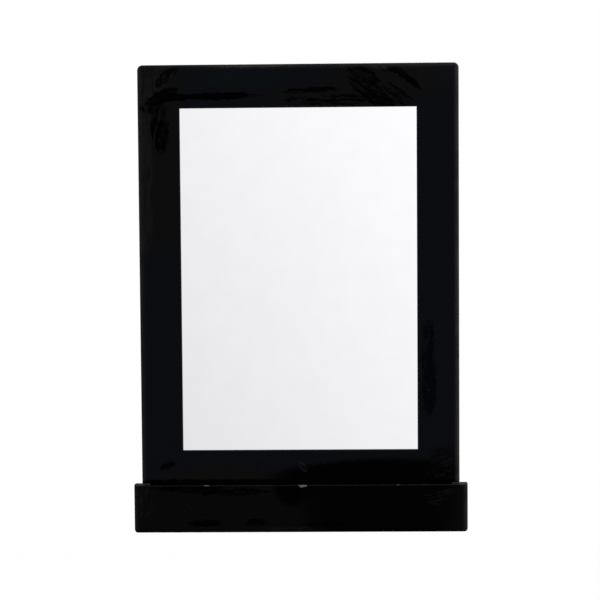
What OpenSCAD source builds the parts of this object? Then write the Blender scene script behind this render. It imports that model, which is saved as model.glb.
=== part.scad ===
// Mirrored wall cabinet: a framed mirror door above a shallow drawer, on a dowelled carcass.
// The origin lies midway between the two hanging holes, on the wall plane.
// +X is to the right as seen from the room, +Y points into the wall and +Z is up.

/* [Door frame] */
// Width of the door
door_w = 480; // [420:5:600]
// Height of the door
door_h = 630; // [540:5:800]
// Thickness of the door frame
door_t = 20; // [18:0.5:26]
// Width of each upright stile
stile_w = 63; // [50:0.5:85]
// Height of the top rail
top_rail_h = 65; // [50:0.5:90]
// Height of the bottom rail
bottom_rail_h = 51; // [42:0.5:80]
// Radius of the two upper outer corners
door_corner_r = 7; // [2:0.5:12]
// Radius that rounds the front over along all four edges of the door
door_edge_r = 8; // [1:0.5:10]
// Thickness of the lip that laps over the mirror
front_lip_t = 4; // [3:0.5:5]
// Width of that lip
rebate_w = 10; // [8:0.5:14]

/* [Mirror] */
// Thickness of the mirror glass
mirror_t = 4; // [3:0.5:5]
// Gap left round the glass in its rebate
mirror_play = 2; // [0.5:0.5:3]
// Thickness of the board behind the mirror
backing_t = 3; // [2:0.5:4]
// Width of the glazing beads
bead_w = 9; // [6:0.5:10]
// Radius of the pins that hold the beads
bead_pin_r = 0.8; // [0.6:0.1:1.2]
// Length of those pins
bead_pin_l = 20; // [16:1:26]

/* [Carcass] */
// Depth of the carcass from the wall to its front edges
carcass_d = 120; // [110:5:180]
// Thickness of the carcass boards
board_t = 16; // [15:0.5:19]
// How far the door stands out past each side panel
side_lap = 10; // [8:0.5:16]
// How far the door laps over the top panel and the cupboard floor
end_lap = 5; // [4:0.5:10]
// Thickness of the back panel
back_t = 4; // [3:0.5:6]
// Depth of the grooves that hold the back panel
back_groove_d = 8; // [5:0.5:10]
// Height of the two rails behind the back panel
rail_h = 60; // [50:1:80]
// Radius of the carcass dowels
dowel_r = 4; // [3:0.5:5]
// Length of the carcass dowels
dowel_l = 30; // [24:1:36]

/* [Wall fixing] */
// Radius of the screw holes in the rails
wall_hole_r = 3; // [2.5:0.25:4]
// Distance between the two holes in a rail
wall_hole_spacing = 320; // [240:5:340]

/* [Shelves] */
// Thickness of the glass shelves
shelf_t = 5; // [4:0.5:8]
// Distance of the shelf front behind the carcass front
shelf_setback = 10; // [6:1:20]
// Radius of the shelf pin holes
shelf_hole_r = 2.5; // [2:0.25:3.5]
// Depth of the shelf pin holes
shelf_hole_d = 10; // [8:0.5:12]
// Distance of the front row of holes from the carcass front
hole_row_setback = 37; // [28:1:40]
// Spacing of the holes in a row
hole_pitch = 32; // [20:1:32]
// Holes above and below each shelf's middle hole
spare_holes = 2; // [1:1:2]

/* [Hinges] */
// Height of a hinge
hinge_h = 60; // [45:1:80]
// Width of a hinge leaf from the pin's axis
leaf_w = 25; // [22:0.5:30]
// Thickness of a hinge leaf
leaf_t = 1.5; // [1:0.1:2]
// Radius of a hinge knuckle
knuckle_r = 3.5; // [3:0.1:3.8]
// Radius of the hinge pin
hinge_pin_r = 1.5; // [1:0.1:1.8]
// Distance of a hinge's middle from the end of the door
hinge_inset = 90; // [60:1:120]

/* [Magnetic catch] */
// Height of the catch housing without its ears
catch_h = 28; // [22:1:40]
// Width of the catch housing
catch_w = 14; // [12:0.5:18]
// Depth of the catch housing
catch_d = 18; // [14:0.5:24]
// Thickness of the strike plate on the door
strike_t = 1.2; // [0.8:0.1:1.4]

/* [Drawer] */
// Height of the drawer front
front_h = 71.5; // [66:0.5:90]
// Thickness of the drawer front
front_t = 22; // [18:0.5:28]
// How far the drawer front stands out past each side of the door
front_lap = 12; // [4:0.5:20]
// Radius of the two lower corners of the drawer front
front_corner_r = 5; // [2:0.5:10]
// Radius that rounds the drawer front over at its two ends
front_edge_r = 7; // [1:0.5:10]
// Gap between the door and the drawer front
seam = 1.5; // [1:0.25:4]
// How far the drawer front hangs below the carcass as a finger grip
finger_lip = 6; // [3:0.5:8]
// Thickness of the drawer sides
drawer_side_t = 14; // [13:0.5:16]
// Thickness of the drawer's inner front and back
drawer_end_t = 12; // [10:0.5:15]
// Thickness of the drawer bottom
drawer_bottom_t = 3; // [2.5:0.5:4]
// Height of a drawer runner
runner_h = 10; // [8:0.5:12]
// Width of a drawer runner
runner_w = 8; // [7:0.25:9]
// Width of the rail that stops the drawer
stop_rail_w = 10; // [8:0.5:14]
// Radius of the drawer dowels
drawer_dowel_r = 3; // [2.5:0.25:3.5]

/* [Hidden] */
$fn = 48;

// Colours
lacquer = [0.05, 0.05, 0.06];
board_black = [0.11, 0.11, 0.12];
hardboard = [0.16, 0.15, 0.14];
beech = [0.76, 0.6, 0.42];
silvered = [0.8, 0.84, 0.86];
clear_glass = [0.7, 0.85, 0.82, 0.5];
steel = [0.68, 0.69, 0.71];
plastic_black = [0.14, 0.14, 0.15];
magnet_grey = [0.3, 0.29, 0.28];
silicone = [0.82, 0.83, 0.84];

// Clearances
cut_past = 1;            // a cutter runs this far past the face that it cuts
hole_play = 0.05;        // round a dowel, pin or screw in its hole
end_play = 0.5;          // past the end of a dowel, pin or screw
groove_play = 0.1;       // on each face of a panel in its groove
groove_end_play = 0.5;   // at the edge of a panel in its groove
knuckle_play = 0.3;      // between a knuckle and what it turns beside
leaf_play = 0.5;         // between the door's hinge leaf and the carcass edge
stop_play = 0.3;         // between a bumper or magnet and what it meets
shelf_end_play = 0.3;    // between a shelf and the collars of its pins
shelf_back_play = 2;     // between a shelf and the back panel
runner_play = 0.3;       // above and below a runner in its groove
runner_side_play = 0.5;  // between a runner and the bottom of its groove
drawer_side_play = 1;    // between a drawer side and the side panel
drawer_rear_play = 4;    // between the drawer and the back panel
drawer_under_play = 3;   // between the drawer and the base panel
drawer_over_play = 1;    // between the drawer box and the stop rail

// Screws and pins
small_screw_r = 1.5;       // shank of the countersunk screws
small_head_r = 3.1;        // head of the countersunk screws
hinge_screw_l = 13;
thin_screw_l = 12;         // screws of the catch, its strike plate and the stop rail
runner_screw_l = 18;
front_screw_r = 2;         // pan-head screws that hold the drawer front
front_screw_head_r = 4.2;
front_screw_head_h = 2;
front_screw_bite = 14;     // their length in the drawer front
pin_head_r = 2.6;          // peened heads of the hinge pins
pin_head_h = 1;
bead_pin_sunk = 1;         // below the face of the bead

// Dowels
door_dowel_l = 40;
door_dowel_inset = 11;     // from the edges of the wood that they join
dowel_side_bite = 10;      // length of a carcass dowel in a side panel
dowel_front_inset = 20;    // from the carcass front
dowel_rear_inset = 25;     // from the back panel
rail_dowel_inset = 12;     // from the edges of a wall rail
drawer_dowel_l = 20;
drawer_dowel_edge = 2;     // wood beside a drawer dowel
groove_wall = 1;           // wood between a drawer dowel and the runner's groove

// Hinge leaves
leaf_corner_r = 4;
leaf_screw_near = 10.5;    // from the pin's axis to the outer screws
leaf_screw_inset = 6;      // from a leaf's free edge to its middle screw

// Shelf pins
rear_row_setback = 20;     // from the back panel to the rear row of holes
collar_t = 1.2;
collar_r = 4;
tab_l = 7;                 // tab that the shelf lies on
tab_w = 8;
tab_h = 2;
pin_end_play = 1;          // between a pin and the bottom of its hole

// Magnetic catch
ear_h = 11;                // screw ears above and below the housing
ear_t = 4;
housing_corner_r = 1.5;
catch_end_wall = 2;
pole_t = 1.5;
pole_stand_out = 1;        // pole plates stand out of the housing
magnet_t = 6;
magnet_d = 12;
magnet_end_play = 1;
strike_w = 12;
strike_corner_r = 3;
strike_past_housing = 6;

// Bumpers
bumper_r = 4.5;
bumper_inset = 25;         // from the ends of the door

// Drawer and its fittings
runner_front_inset = 2;    // from the carcass front
runner_rear_inset = 4;     // from the back panel
runner_raise = 1;          // above the middle of the drawer's side
runner_end_r = 3;
runner_screw_inset = 14;
stop_rail_t = 4;
stop_rail_inset = 2;       // from the carcass front
stop_screw_inset = 100;    // from the inside of the drawer
stop_bite = 3;             // the drawer's back reaches this far behind the stop rail
bottom_groove_d = 5;
bottom_up = 3;             // of the drawer's bottom above its lower edges
front_screw_inset = 75;    // from the inside of the drawer
bead_pin_end_inset = 75;   // from the corners of the mirror opening

// Widths, from the middle
door_half = door_w / 2;
opening_half = door_half - stile_w;
carcass_half = door_half - side_lap;
inner_half = carcass_half - board_t;
front_half = door_half + front_lap;

// Depths, from the wall at zero towards the room
carcass_front = -carcass_d;
door_gap = leaf_t + leaf_play;
door_back = carcass_front - door_gap;
door_front = door_back - door_t;
front_face = door_back - front_t;
back_rear = -board_t;
back_front = back_rear - back_t;

// Heights, with the hanging holes at zero
top_underside = rail_h / 2;
carcass_top = top_underside + board_t;
door_top = carcass_top + end_lap;
door_bottom = door_top - door_h;
front_top = door_bottom - seam;
front_bottom = front_top - front_h;
carcass_bottom = front_bottom + finger_lip;
floor_top = door_bottom + end_lap;
floor_bottom = floor_top - board_t;
base_top = carcass_bottom + board_t;
steadying_z = floor_top + rail_h / 2;

// Mirror opening, rebate and what lies in it
opening_bottom = door_bottom + bottom_rail_h;
opening_top = door_top - top_rail_h;
mirror_lap = rebate_w - mirror_play;
mirror_face = door_front + front_lip_t;
backing_face = mirror_face + mirror_t;
bead_face = backing_face + backing_t;
bead_d = door_back - bead_face;
bead_out_x = opening_half + rebate_w;
bead_in_x = bead_out_x - bead_w;
bead_out_top = opening_top + rebate_w;
bead_in_top = bead_out_top - bead_w;
bead_out_bottom = opening_bottom - rebate_w;
bead_in_bottom = bead_out_bottom + bead_w;

// Hinge axis, hidden behind the part of the door that stands out past the side panel
axis_x = -(carcass_half + knuckle_play + knuckle_r);
axis_y = door_back + knuckle_play + knuckle_r;
knuckle_h = hinge_h / 3;
hinge_upper_z = door_top - hinge_inset;
hinge_lower_z = door_bottom + hinge_inset;
leaf_screw_far = leaf_w - leaf_screw_inset;
leaf_screw_places = [[leaf_screw_near, -knuckle_h], [leaf_screw_far, 0], [leaf_screw_near, knuckle_h]];

// Shelves stand on pins at a third and two thirds of the cupboard
cupboard_h = top_underside - floor_top;
shelf_pin_r = shelf_hole_r - hole_play;
shelf_hole_zs = [floor_top + cupboard_h / 3, floor_top + cupboard_h * 2 / 3];
row_ys = [carcass_front + hole_row_setback, back_front - rear_row_setback];
shelf_half = inner_half - collar_t - shelf_end_play;

// Magnetic catch on the right side panel, level with the middle of the cupboard
catch_z = (top_underside + floor_top) / 2;
catch_x = inner_half - catch_w / 2;
pole_face = door_back + strike_t + stop_play;
catch_face = pole_face + pole_stand_out;
strike_h = catch_h + 2 * strike_past_housing;
magnet_pack_half = magnet_t / 2 + pole_t;
catch_cavity_half_h = catch_h / 2 - catch_end_wall;
magnet_half_h = catch_cavity_half_h - magnet_end_play;
magnet_rear = pole_face + magnet_d;

// Drawer box
box_half = inner_half - drawer_side_play;
box_inner = box_half - drawer_side_t;
box_bottom = base_top + drawer_under_play;
box_top = floor_bottom - stop_rail_t - drawer_over_play;
box_rear = back_front - drawer_rear_play;
inner_front_rear = door_back + drawer_end_t;
back_board_front = box_rear - drawer_end_t;
runner_z = (box_bottom + box_top) / 2 + runner_raise;
runner_front = carcass_front + runner_front_inset;
runner_rear = back_front - runner_rear_inset;
runner_groove_d = runner_w - drawer_side_play + runner_side_play;
bottom_z = box_bottom + bottom_up;
stop_rail_front = carcass_front + stop_rail_inset;
front_screw_z = (bottom_z + drawer_bottom_t + box_top) / 2;
drawer_dowel_bite = drawer_side_t - runner_groove_d - end_play - groove_wall;

// Shared shapes

// A box between two corners.
module block(lo, hi) {
    translate(lo) cube(hi - lo);
}

// A rectangle between two corners, with its two upper or two lower corners rounded.
module rounded_panel(lo, hi, r, upper) {
    size = hi - lo;
    corner_z = upper ? hi[1] : lo[1];
    inward = upper ? -1 : 1;
    difference() {
        translate(lo) square(size);
        for (side = [-1, 1]) {
            corner_x = side > 0 ? hi[0] : lo[0];
            centre = [corner_x - side * r, corner_z + inward * r];
            difference() {
                translate([corner_x - side * r / 2 + side * cut_past / 2,
                           corner_z + inward * r / 2 - inward * cut_past / 2])
                    square([r + cut_past, r + cut_past], center = true);
                translate(centre) circle(r);
            }
        }
    }
}

// A rectangle about its middle, with round corners.
module rounded_plate(size, r) {
    square([size[0] - 2 * r, size[1]], center = true);
    square([size[0], size[1] - 2 * r], center = true);
    for (x = [-1, 1])
        for (y = [-1, 1])
            translate([x * (size[0] / 2 - r), y * (size[1] / 2 - r)]) circle(r);
}

// A flat shape drawn in X and Z, given a thickness towards the room from the depth y_rear.
module standing(y_rear, thickness) {
    translate([0, y_rear, 0]) rotate([90, 0, 0]) linear_extrude(thickness) children();
}

// A flat shape drawn in Y and Z, given a thickness to the right of a point.
module lying(point, thickness) {
    translate(point) rotate([90, 0, 90]) linear_extrude(thickness) children();
}

// A countersunk screw that points along +Z, with the face of its head at zero.
module countersunk(length, r, head_r) {
    cylinder(h = length, r = r);
    cylinder(h = head_r - r, r1 = head_r, r2 = r);
}

// The hole that such a screw needs.
module countersunk_hole(length, r, head_r) {
    cylinder(h = length + end_play, r = r + hole_play);
    cylinder(h = head_r - r, r1 = head_r + hole_play, r2 = r + hole_play);
    translate([0, 0, -cut_past]) cylinder(h = cut_past, r = head_r + hole_play);
}

// A dowel along X, with its middle at zero.
module dowel(length, r) {
    rotate([0, 90, 0]) cylinder(h = length, r = r, center = true);
}

// The hole that such a dowel needs.
module dowel_hole(length, r) {
    dowel(length + 2 * end_play, r + hole_play);
}

// Places of the fixings, shared by the fixings and their holes

dowel_ys = [carcass_front + dowel_front_inset, back_front - dowel_rear_inset];

module at_carcass_dowels() {
    for (side = [-1, 1]) {
        x = side * (inner_half + dowel_side_bite - dowel_l / 2);
        for (z = [carcass_bottom + board_t / 2, floor_bottom + board_t / 2, carcass_top - board_t / 2])
            for (y = dowel_ys) translate([x, y, z]) children();
        for (z = [0, steadying_z])
            for (dz = [rail_dowel_inset - rail_h / 2, rail_h / 2 - rail_dowel_inset])
                translate([x, -board_t / 2, z + dz]) children();
    }
}

module at_wall_holes(z) {
    for (side = [-1, 1])
        translate([side * wall_hole_spacing / 2, 0, z]) rotate([90, 0, 0]) children();
}

module at_shelf_holes(side, steps) {
    for (z = shelf_hole_zs)
        for (step = steps)
            for (y = row_ys)
                translate([side * inner_half, y, z + step * hole_pitch])
                    rotate([0, side * 90, 0]) children();
}

module at_body_leaf_screws() {
    for (z = [hinge_upper_z, hinge_lower_z])
        for (place = leaf_screw_places)
            translate([-carcass_half - leaf_t, axis_y + place[0], z + place[1]])
                rotate([0, 90, 0]) children();
}

module at_door_leaf_screws() {
    for (z = [hinge_upper_z, hinge_lower_z])
        for (place = leaf_screw_places)
            translate([axis_x + place[0], door_back + leaf_t, z + place[1]])
                rotate([90, 0, 0]) children();
}

module at_catch_screws() {
    for (end = [-1, 1])
        translate([inner_half - ear_t, catch_face + catch_d / 2, catch_z + end * (catch_h + ear_h) / 2])
            rotate([0, 90, 0]) children();
}

module at_strike_screws() {
    for (end = [-1, 1])
        translate([catch_x, door_back + strike_t, catch_z + end * (strike_h - strike_w) / 2])
            rotate([90, 0, 0]) children();
}

module at_runner_screws() {
    for (side = [-1, 1])
        for (y = [runner_front + runner_screw_inset, runner_rear - runner_screw_inset])
            translate([side * (inner_half - runner_w), y, runner_z])
                rotate([0, side * 90, 0]) children();
}

module at_stop_rail_screws() {
    for (side = [-1, 1])
        translate([side * (box_inner - stop_screw_inset), stop_rail_front + stop_rail_w / 2,
                   floor_bottom - stop_rail_t])
            children();
}

// Two dowels in each corner of the door, clear of the rebate.
module at_door_dowels() {
    low_pair = [door_bottom, opening_bottom - rebate_w];
    high_pair = [opening_top + rebate_w, door_top];
    for (side = [-1, 1])
        for (span = [low_pair, high_pair])
            for (z = [span[0] + door_dowel_inset, span[1] - door_dowel_inset])
                translate([side * opening_half, door_back - door_t / 2, z]) children();
}

// Bead pins run from the beads into the frame. Each faces outwards from the mirror.
module at_bead_pins() {
    y = bead_face + bead_d / 2;
    start_x = bead_in_x + bead_pin_sunk;
    start_top = bead_in_top + bead_pin_sunk;
    start_bottom = bead_in_bottom - bead_pin_sunk;
    middle_z = (opening_top + opening_bottom) / 2;
    for (step = [-1, 0, 1]) {
        along_z = middle_z + step * ((opening_top - opening_bottom) / 2 - bead_pin_end_inset);
        along_x = step * (opening_half - bead_pin_end_inset);
        for (side = [-1, 1])
            translate([side * start_x, y, along_z]) rotate([0, side * 90, 0]) children();
        translate([along_x, y, start_top]) children();
        translate([along_x, y, start_bottom]) rotate([180, 0, 0]) children();
    }
}

module at_drawer_dowels() {
    x = box_inner + drawer_dowel_bite - drawer_dowel_l / 2;
    y_front = door_back + drawer_end_t / 2;
    y_rear = box_rear - drawer_end_t / 2;
    low = bottom_z + drawer_bottom_t + drawer_dowel_r + drawer_dowel_edge;
    high = box_top - drawer_dowel_r - drawer_dowel_edge;
    for (side = [-1, 1])
        for (y = [y_front, y_rear])
            for (z = [low, high])
                translate([side * x, y, z]) children();
}

module at_front_screws() {
    for (side = [-1, 1])
        translate([side * (box_inner - front_screw_inset), inner_front_rear, front_screw_z])
            rotate([90, 0, 0]) children();
}

// Carcass

module side_panel(side) {
    inner = side * inner_half;
    outer = side * carcass_half;
    difference() {
        block([min(inner, outer), carcass_front, carcass_bottom], [max(inner, outer), 0, carcass_top]);
        groove = inner + side * back_groove_d;
        clear = inner - side * cut_past;
        block([min(clear, groove), back_front - groove_play, base_top - back_groove_d],
              [max(clear, groove), back_rear + groove_play, top_underside + back_groove_d]);
        at_carcass_dowels() dowel_hole(dowel_l, dowel_r);
        at_shelf_holes(side, [-spare_holes:spare_holes])
            translate([0, 0, -cut_past]) cylinder(h = shelf_hole_d + cut_past, r = shelf_hole_r);
        at_body_leaf_screws() countersunk_hole(hinge_screw_l, small_screw_r, small_head_r);
        at_catch_screws() countersunk_hole(thin_screw_l, small_screw_r, small_head_r);
        at_runner_screws() countersunk_hole(runner_screw_l, small_screw_r, small_head_r);
    }
}

module side_panel_left() {
    color(board_black) side_panel(-1);
}

module side_panel_right() {
    color(board_black) side_panel(1);
}

module top_panel() {
    color(board_black) difference() {
        block([-inner_half, carcass_front, top_underside], [inner_half, 0, carcass_top]);
        block([-inner_half - cut_past, back_front - groove_play, top_underside - cut_past],
              [inner_half + cut_past, back_rear + groove_play, top_underside + back_groove_d]);
        at_carcass_dowels() dowel_hole(dowel_l, dowel_r);
    }
}

module cupboard_floor() {
    color(board_black) difference() {
        block([-inner_half, carcass_front, floor_bottom], [inner_half, back_front, floor_top]);
        at_carcass_dowels() dowel_hole(dowel_l, dowel_r);
        at_stop_rail_screws() countersunk_hole(thin_screw_l, small_screw_r, small_head_r);
    }
}

module base_panel() {
    color(board_black) difference() {
        block([-inner_half, carcass_front, carcass_bottom], [inner_half, 0, base_top]);
        block([-inner_half - cut_past, back_front - groove_play, base_top - back_groove_d],
              [inner_half + cut_past, back_rear + groove_play, base_top + cut_past]);
        at_carcass_dowels() dowel_hole(dowel_l, dowel_r);
    }
}

module back_panel() {
    bite = back_groove_d - groove_end_play;
    color(hardboard) difference() {
        block([-inner_half - bite, back_front, base_top - bite],
              [inner_half + bite, back_rear, top_underside + bite]);
        for (z = [0, steadying_z])
            at_wall_holes(z) cylinder(h = board_t + back_t + cut_past, r = wall_hole_r);
    }
}

module wall_rail(z) {
    difference() {
        block([-inner_half, back_rear, z - rail_h / 2], [inner_half, 0, z + rail_h / 2]);
        at_wall_holes(z) translate([0, 0, -cut_past]) cylinder(h = board_t + 2 * cut_past, r = wall_hole_r);
        at_carcass_dowels() dowel_hole(dowel_l, dowel_r);
    }
}

module hanging_rail() {
    color(board_black) wall_rail(0);
}

module steadying_rail() {
    color(board_black) wall_rail(steadying_z);
}

module carcass_dowels() {
    color(beech) at_carcass_dowels() dowel(dowel_l, dowel_r);
}

// Shelves

module glass_shelf(hole_z) {
    bottom = hole_z + shelf_pin_r;
    color(clear_glass)
        block([-shelf_half, carcass_front + shelf_setback, bottom],
              [shelf_half, back_front - shelf_back_play, bottom + shelf_t]);
}

module glass_shelf_upper() {
    glass_shelf(shelf_hole_zs[1]);
}

module glass_shelf_lower() {
    glass_shelf(shelf_hole_zs[0]);
}

// A shelf pin that points along +Z into its hole, with the collar's back at zero.
module shelf_pin(up) {
    cylinder(h = shelf_hole_d - pin_end_play, r = shelf_pin_r);
    translate([0, 0, -collar_t]) cylinder(h = collar_t, r = collar_r);
    translate([min(up * shelf_pin_r, up * (shelf_pin_r - tab_h)), -tab_w / 2, -collar_t - tab_l])
        cube([tab_h, tab_w, tab_l + collar_t / 2]);
}

module shelf_pins() {
    color(steel) for (side = [-1, 1]) at_shelf_holes(side, [0]) shelf_pin(-side);
}

// Hinges

module knuckle(z, height) {
    translate([axis_x, axis_y, z]) difference() {
        cylinder(h = height, r = knuckle_r, center = true);
        cylinder(h = height + 2 * cut_past, r = hinge_pin_r + hole_play, center = true);
    }
}

module knuckle_room(z, height) {
    translate([axis_x, axis_y, z])
        cylinder(h = height + 2 * knuckle_play, r = knuckle_r + knuckle_play, center = true);
}

// A leaf lying flat, from the pin's axis to its free edge, with the two free corners round.
module leaf_plate() {
    linear_extrude(leaf_t) {
        translate([0, -hinge_h / 2]) square([leaf_w / 2, hinge_h]);
        translate([leaf_w / 2, 0]) rounded_plate([leaf_w, hinge_h], leaf_corner_r);
    }
}

// The leaf on the side panel carries the two outer knuckles.
module body_leaf(z) {
    color(steel) {
        difference() {
            translate([-carcass_half - leaf_t, axis_y, z]) rotate([90, 0, 90]) leaf_plate();
            knuckle_room(z, knuckle_h - 2 * knuckle_play);
            for (end = [-1, 1])
                translate([axis_x, axis_y, z + end * knuckle_h])
                    cylinder(h = knuckle_h + cut_past, r = hinge_pin_r + hole_play, center = true);
            at_body_leaf_screws() countersunk_hole(hinge_screw_l, small_screw_r, small_head_r);
        }
        for (end = [-1, 1]) knuckle(z + end * knuckle_h, knuckle_h);
    }
}

// The leaf on the back of the door carries the middle knuckle.
module door_leaf(z) {
    color(steel) {
        difference() {
            translate([axis_x, door_back + leaf_t, z]) rotate([90, 0, 0]) leaf_plate();
            for (end = [-1, 1])
                knuckle_room(z + end * (knuckle_h + cut_past), knuckle_h + 2 * cut_past);
            at_door_leaf_screws() countersunk_hole(hinge_screw_l, small_screw_r, small_head_r);
        }
        knuckle(z, knuckle_h - 2 * knuckle_play);
    }
}

module hinge_pin(z) {
    color(steel) translate([axis_x, axis_y, z]) {
        cylinder(h = hinge_h + pin_head_h, r = hinge_pin_r, center = true);
        for (end = [-1, 1])
            translate([0, 0, end * (hinge_h + pin_head_h) / 2])
                cylinder(h = pin_head_h, r = pin_head_r, center = true);
    }
}

module hinge_upper_body_leaf() {
    body_leaf(hinge_upper_z);
}

module hinge_lower_body_leaf() {
    body_leaf(hinge_lower_z);
}

module hinge_upper_door_leaf() {
    door_leaf(hinge_upper_z);
}

module hinge_lower_door_leaf() {
    door_leaf(hinge_lower_z);
}

module hinge_upper_pin() {
    hinge_pin(hinge_upper_z);
}

module hinge_lower_pin() {
    hinge_pin(hinge_lower_z);
}

module hinge_body_screws() {
    color(steel) at_body_leaf_screws() countersunk(hinge_screw_l, small_screw_r, small_head_r);
}

module hinge_door_screws() {
    color(steel) at_door_leaf_screws() countersunk(hinge_screw_l, small_screw_r, small_head_r);
}

// Magnetic catch

module catch_housing() {
    color(plastic_black) difference() {
        union() {
            lying([inner_half - catch_w, catch_face + catch_d / 2, catch_z], catch_w)
                rounded_plate([catch_d, catch_h], housing_corner_r);
            lying([inner_half - ear_t, catch_face + catch_d / 2, catch_z], ear_t)
                rounded_plate([catch_d, catch_h + 2 * ear_h], housing_corner_r);
        }
        cavity_half_w = magnet_pack_half + groove_play;
        block([catch_x - cavity_half_w, catch_face - cut_past, catch_z - catch_cavity_half_h],
              [catch_x + cavity_half_w, magnet_rear, catch_z + catch_cavity_half_h]);
        at_catch_screws() countersunk_hole(thin_screw_l, small_screw_r, small_head_r);
    }
}

module catch_magnet() {
    color(magnet_grey)
        block([catch_x - magnet_t / 2, catch_face, catch_z - magnet_half_h],
              [catch_x + magnet_t / 2, magnet_rear, catch_z + magnet_half_h]);
}

module catch_pole_plates() {
    color(steel) for (side = [-1, 1]) {
        inner = catch_x + side * magnet_t / 2;
        outer = catch_x + side * magnet_pack_half;
        block([min(inner, outer), pole_face, catch_z - magnet_half_h],
              [max(inner, outer), magnet_rear, catch_z + magnet_half_h]);
    }
}

module catch_screws() {
    color(steel) at_catch_screws() countersunk(thin_screw_l, small_screw_r, small_head_r);
}

module strike_plate() {
    color(steel) difference() {
        translate([catch_x, 0, catch_z]) standing(door_back + strike_t, strike_t)
            rounded_plate([strike_w, strike_h], strike_corner_r);
        at_strike_screws() countersunk_hole(thin_screw_l, small_screw_r, small_head_r);
    }
}

module strike_plate_screws() {
    color(steel) at_strike_screws() countersunk(thin_screw_l, small_screw_r, small_head_r);
}

// Door

module mirror_rebate() {
    block([-opening_half - rebate_w, mirror_face, opening_bottom - rebate_w],
          [opening_half + rebate_w, door_back + cut_past, opening_top + rebate_w]);
}

module door_holes() {
    mirror_rebate();
    at_door_dowels() dowel_hole(door_dowel_l, dowel_r);
    at_door_leaf_screws() countersunk_hole(hinge_screw_l, small_screw_r, small_head_r);
    at_strike_screws() countersunk_hole(thin_screw_l, small_screw_r, small_head_r);
    at_bead_pins() cylinder(h = bead_pin_l + end_play, r = bead_pin_r + hole_play);
}

// The whole door without its opening. Its front rounds over along all four edges.
module door_blank() {
    intersection() {
        standing(door_back, door_t)
            rounded_panel([-door_half, door_bottom], [door_half, door_top], door_corner_r, true);
        translate([0, 0, door_bottom]) linear_extrude(door_h)
            rounded_panel([-door_half, door_front], [door_half, door_back], door_edge_r, false);
        lying([-door_half, 0, 0], door_w)
            rounded_panel([door_front, door_bottom], [door_back + door_t, door_top], door_edge_r, true);
        lying([-door_half, 0, 0], door_w)
            rounded_panel([door_front, door_bottom], [door_back + door_t, door_top], door_edge_r, false);
    }
}

module door_stile(side) {
    low = side < 0 ? -door_half - cut_past : opening_half;
    color(lacquer) difference() {
        intersection() {
            door_blank();
            block([low, door_front - cut_past, door_bottom - cut_past],
                  [low + stile_w + cut_past, door_back + cut_past, door_top + cut_past]);
        }
        door_holes();
    }
}

module door_stile_left() {
    door_stile(-1);
}

module door_stile_right() {
    door_stile(1);
}

module door_rail(low, high) {
    color(lacquer) difference() {
        intersection() {
            door_blank();
            block([-opening_half, door_front - cut_past, low], [opening_half, door_back + cut_past, high]);
        }
        door_holes();
    }
}

module door_rail_top() {
    door_rail(opening_top, door_top);
}

module door_rail_bottom() {
    door_rail(door_bottom, opening_bottom);
}

module door_dowels() {
    color(beech) at_door_dowels() dowel(door_dowel_l, dowel_r);
}

module mirror_slab(face, thickness) {
    block([-opening_half - mirror_lap, face, opening_bottom - mirror_lap],
          [opening_half + mirror_lap, face + thickness, opening_top + mirror_lap]);
}

module mirror_glass() {
    color(silvered) mirror_slab(mirror_face, mirror_t);
}

module mirror_backing_board() {
    color(hardboard) mirror_slab(backing_face, backing_t);
}

// Each bead is a strip with mitred ends that fills the rebate behind the board.
module bead(corners) {
    color(board_black) difference() {
        standing(door_back, bead_d) polygon(corners);
        at_bead_pins()
            translate([0, 0, -bead_w]) cylinder(h = bead_pin_l + bead_w, r = bead_pin_r + hole_play);
    }
}

module bead_left() {
    bead([[-bead_out_x, bead_out_bottom], [-bead_in_x, bead_in_bottom],
          [-bead_in_x, bead_in_top], [-bead_out_x, bead_out_top]]);
}

module bead_right() {
    bead([[bead_in_x, bead_in_bottom], [bead_out_x, bead_out_bottom],
          [bead_out_x, bead_out_top], [bead_in_x, bead_in_top]]);
}

module bead_top() {
    bead([[-bead_in_x, bead_in_top], [bead_in_x, bead_in_top],
          [bead_out_x, bead_out_top], [-bead_out_x, bead_out_top]]);
}

module bead_bottom() {
    bead([[-bead_out_x, bead_out_bottom], [bead_out_x, bead_out_bottom],
          [bead_in_x, bead_in_bottom], [-bead_in_x, bead_in_bottom]]);
}

module bead_pins() {
    color(steel) at_bead_pins() cylinder(h = bead_pin_l, r = bead_pin_r);
}

module door_bumpers() {
    color(silicone) for (z = [door_bottom + bumper_inset, door_top - bumper_inset])
        translate([carcass_half - board_t / 2, door_back, z]) rotate([-90, 0, 0])
            cylinder(h = door_gap - stop_play, r = bumper_r);
}

// Drawer

module drawer_runner(side) {
    middle_y = (runner_front + runner_rear) / 2;
    color(plastic_black) difference() {
        lying([side < 0 ? -inner_half : inner_half - runner_w, middle_y, runner_z], runner_w)
            rounded_plate([runner_rear - runner_front, runner_h], runner_end_r);
        at_runner_screws() countersunk_hole(runner_screw_l, small_screw_r, small_head_r);
    }
}

module drawer_runner_left() {
    drawer_runner(-1);
}

module drawer_runner_right() {
    drawer_runner(1);
}

module runner_screws() {
    color(steel) at_runner_screws() countersunk(runner_screw_l, small_screw_r, small_head_r);
}

module drawer_stop_rail() {
    color(board_black) difference() {
        block([-box_inner, stop_rail_front, floor_bottom - stop_rail_t],
              [box_inner, stop_rail_front + stop_rail_w, floor_bottom]);
        at_stop_rail_screws() countersunk_hole(thin_screw_l, small_screw_r, small_head_r);
    }
}

module stop_rail_screws() {
    color(steel) at_stop_rail_screws() countersunk(thin_screw_l, small_screw_r, small_head_r);
}

module bottom_groove() {
    reach = bottom_groove_d;
    block([-box_inner - reach, inner_front_rear - reach, bottom_z - groove_play],
          [box_inner + reach, back_board_front + reach, bottom_z + drawer_bottom_t + groove_play]);
}

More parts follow.
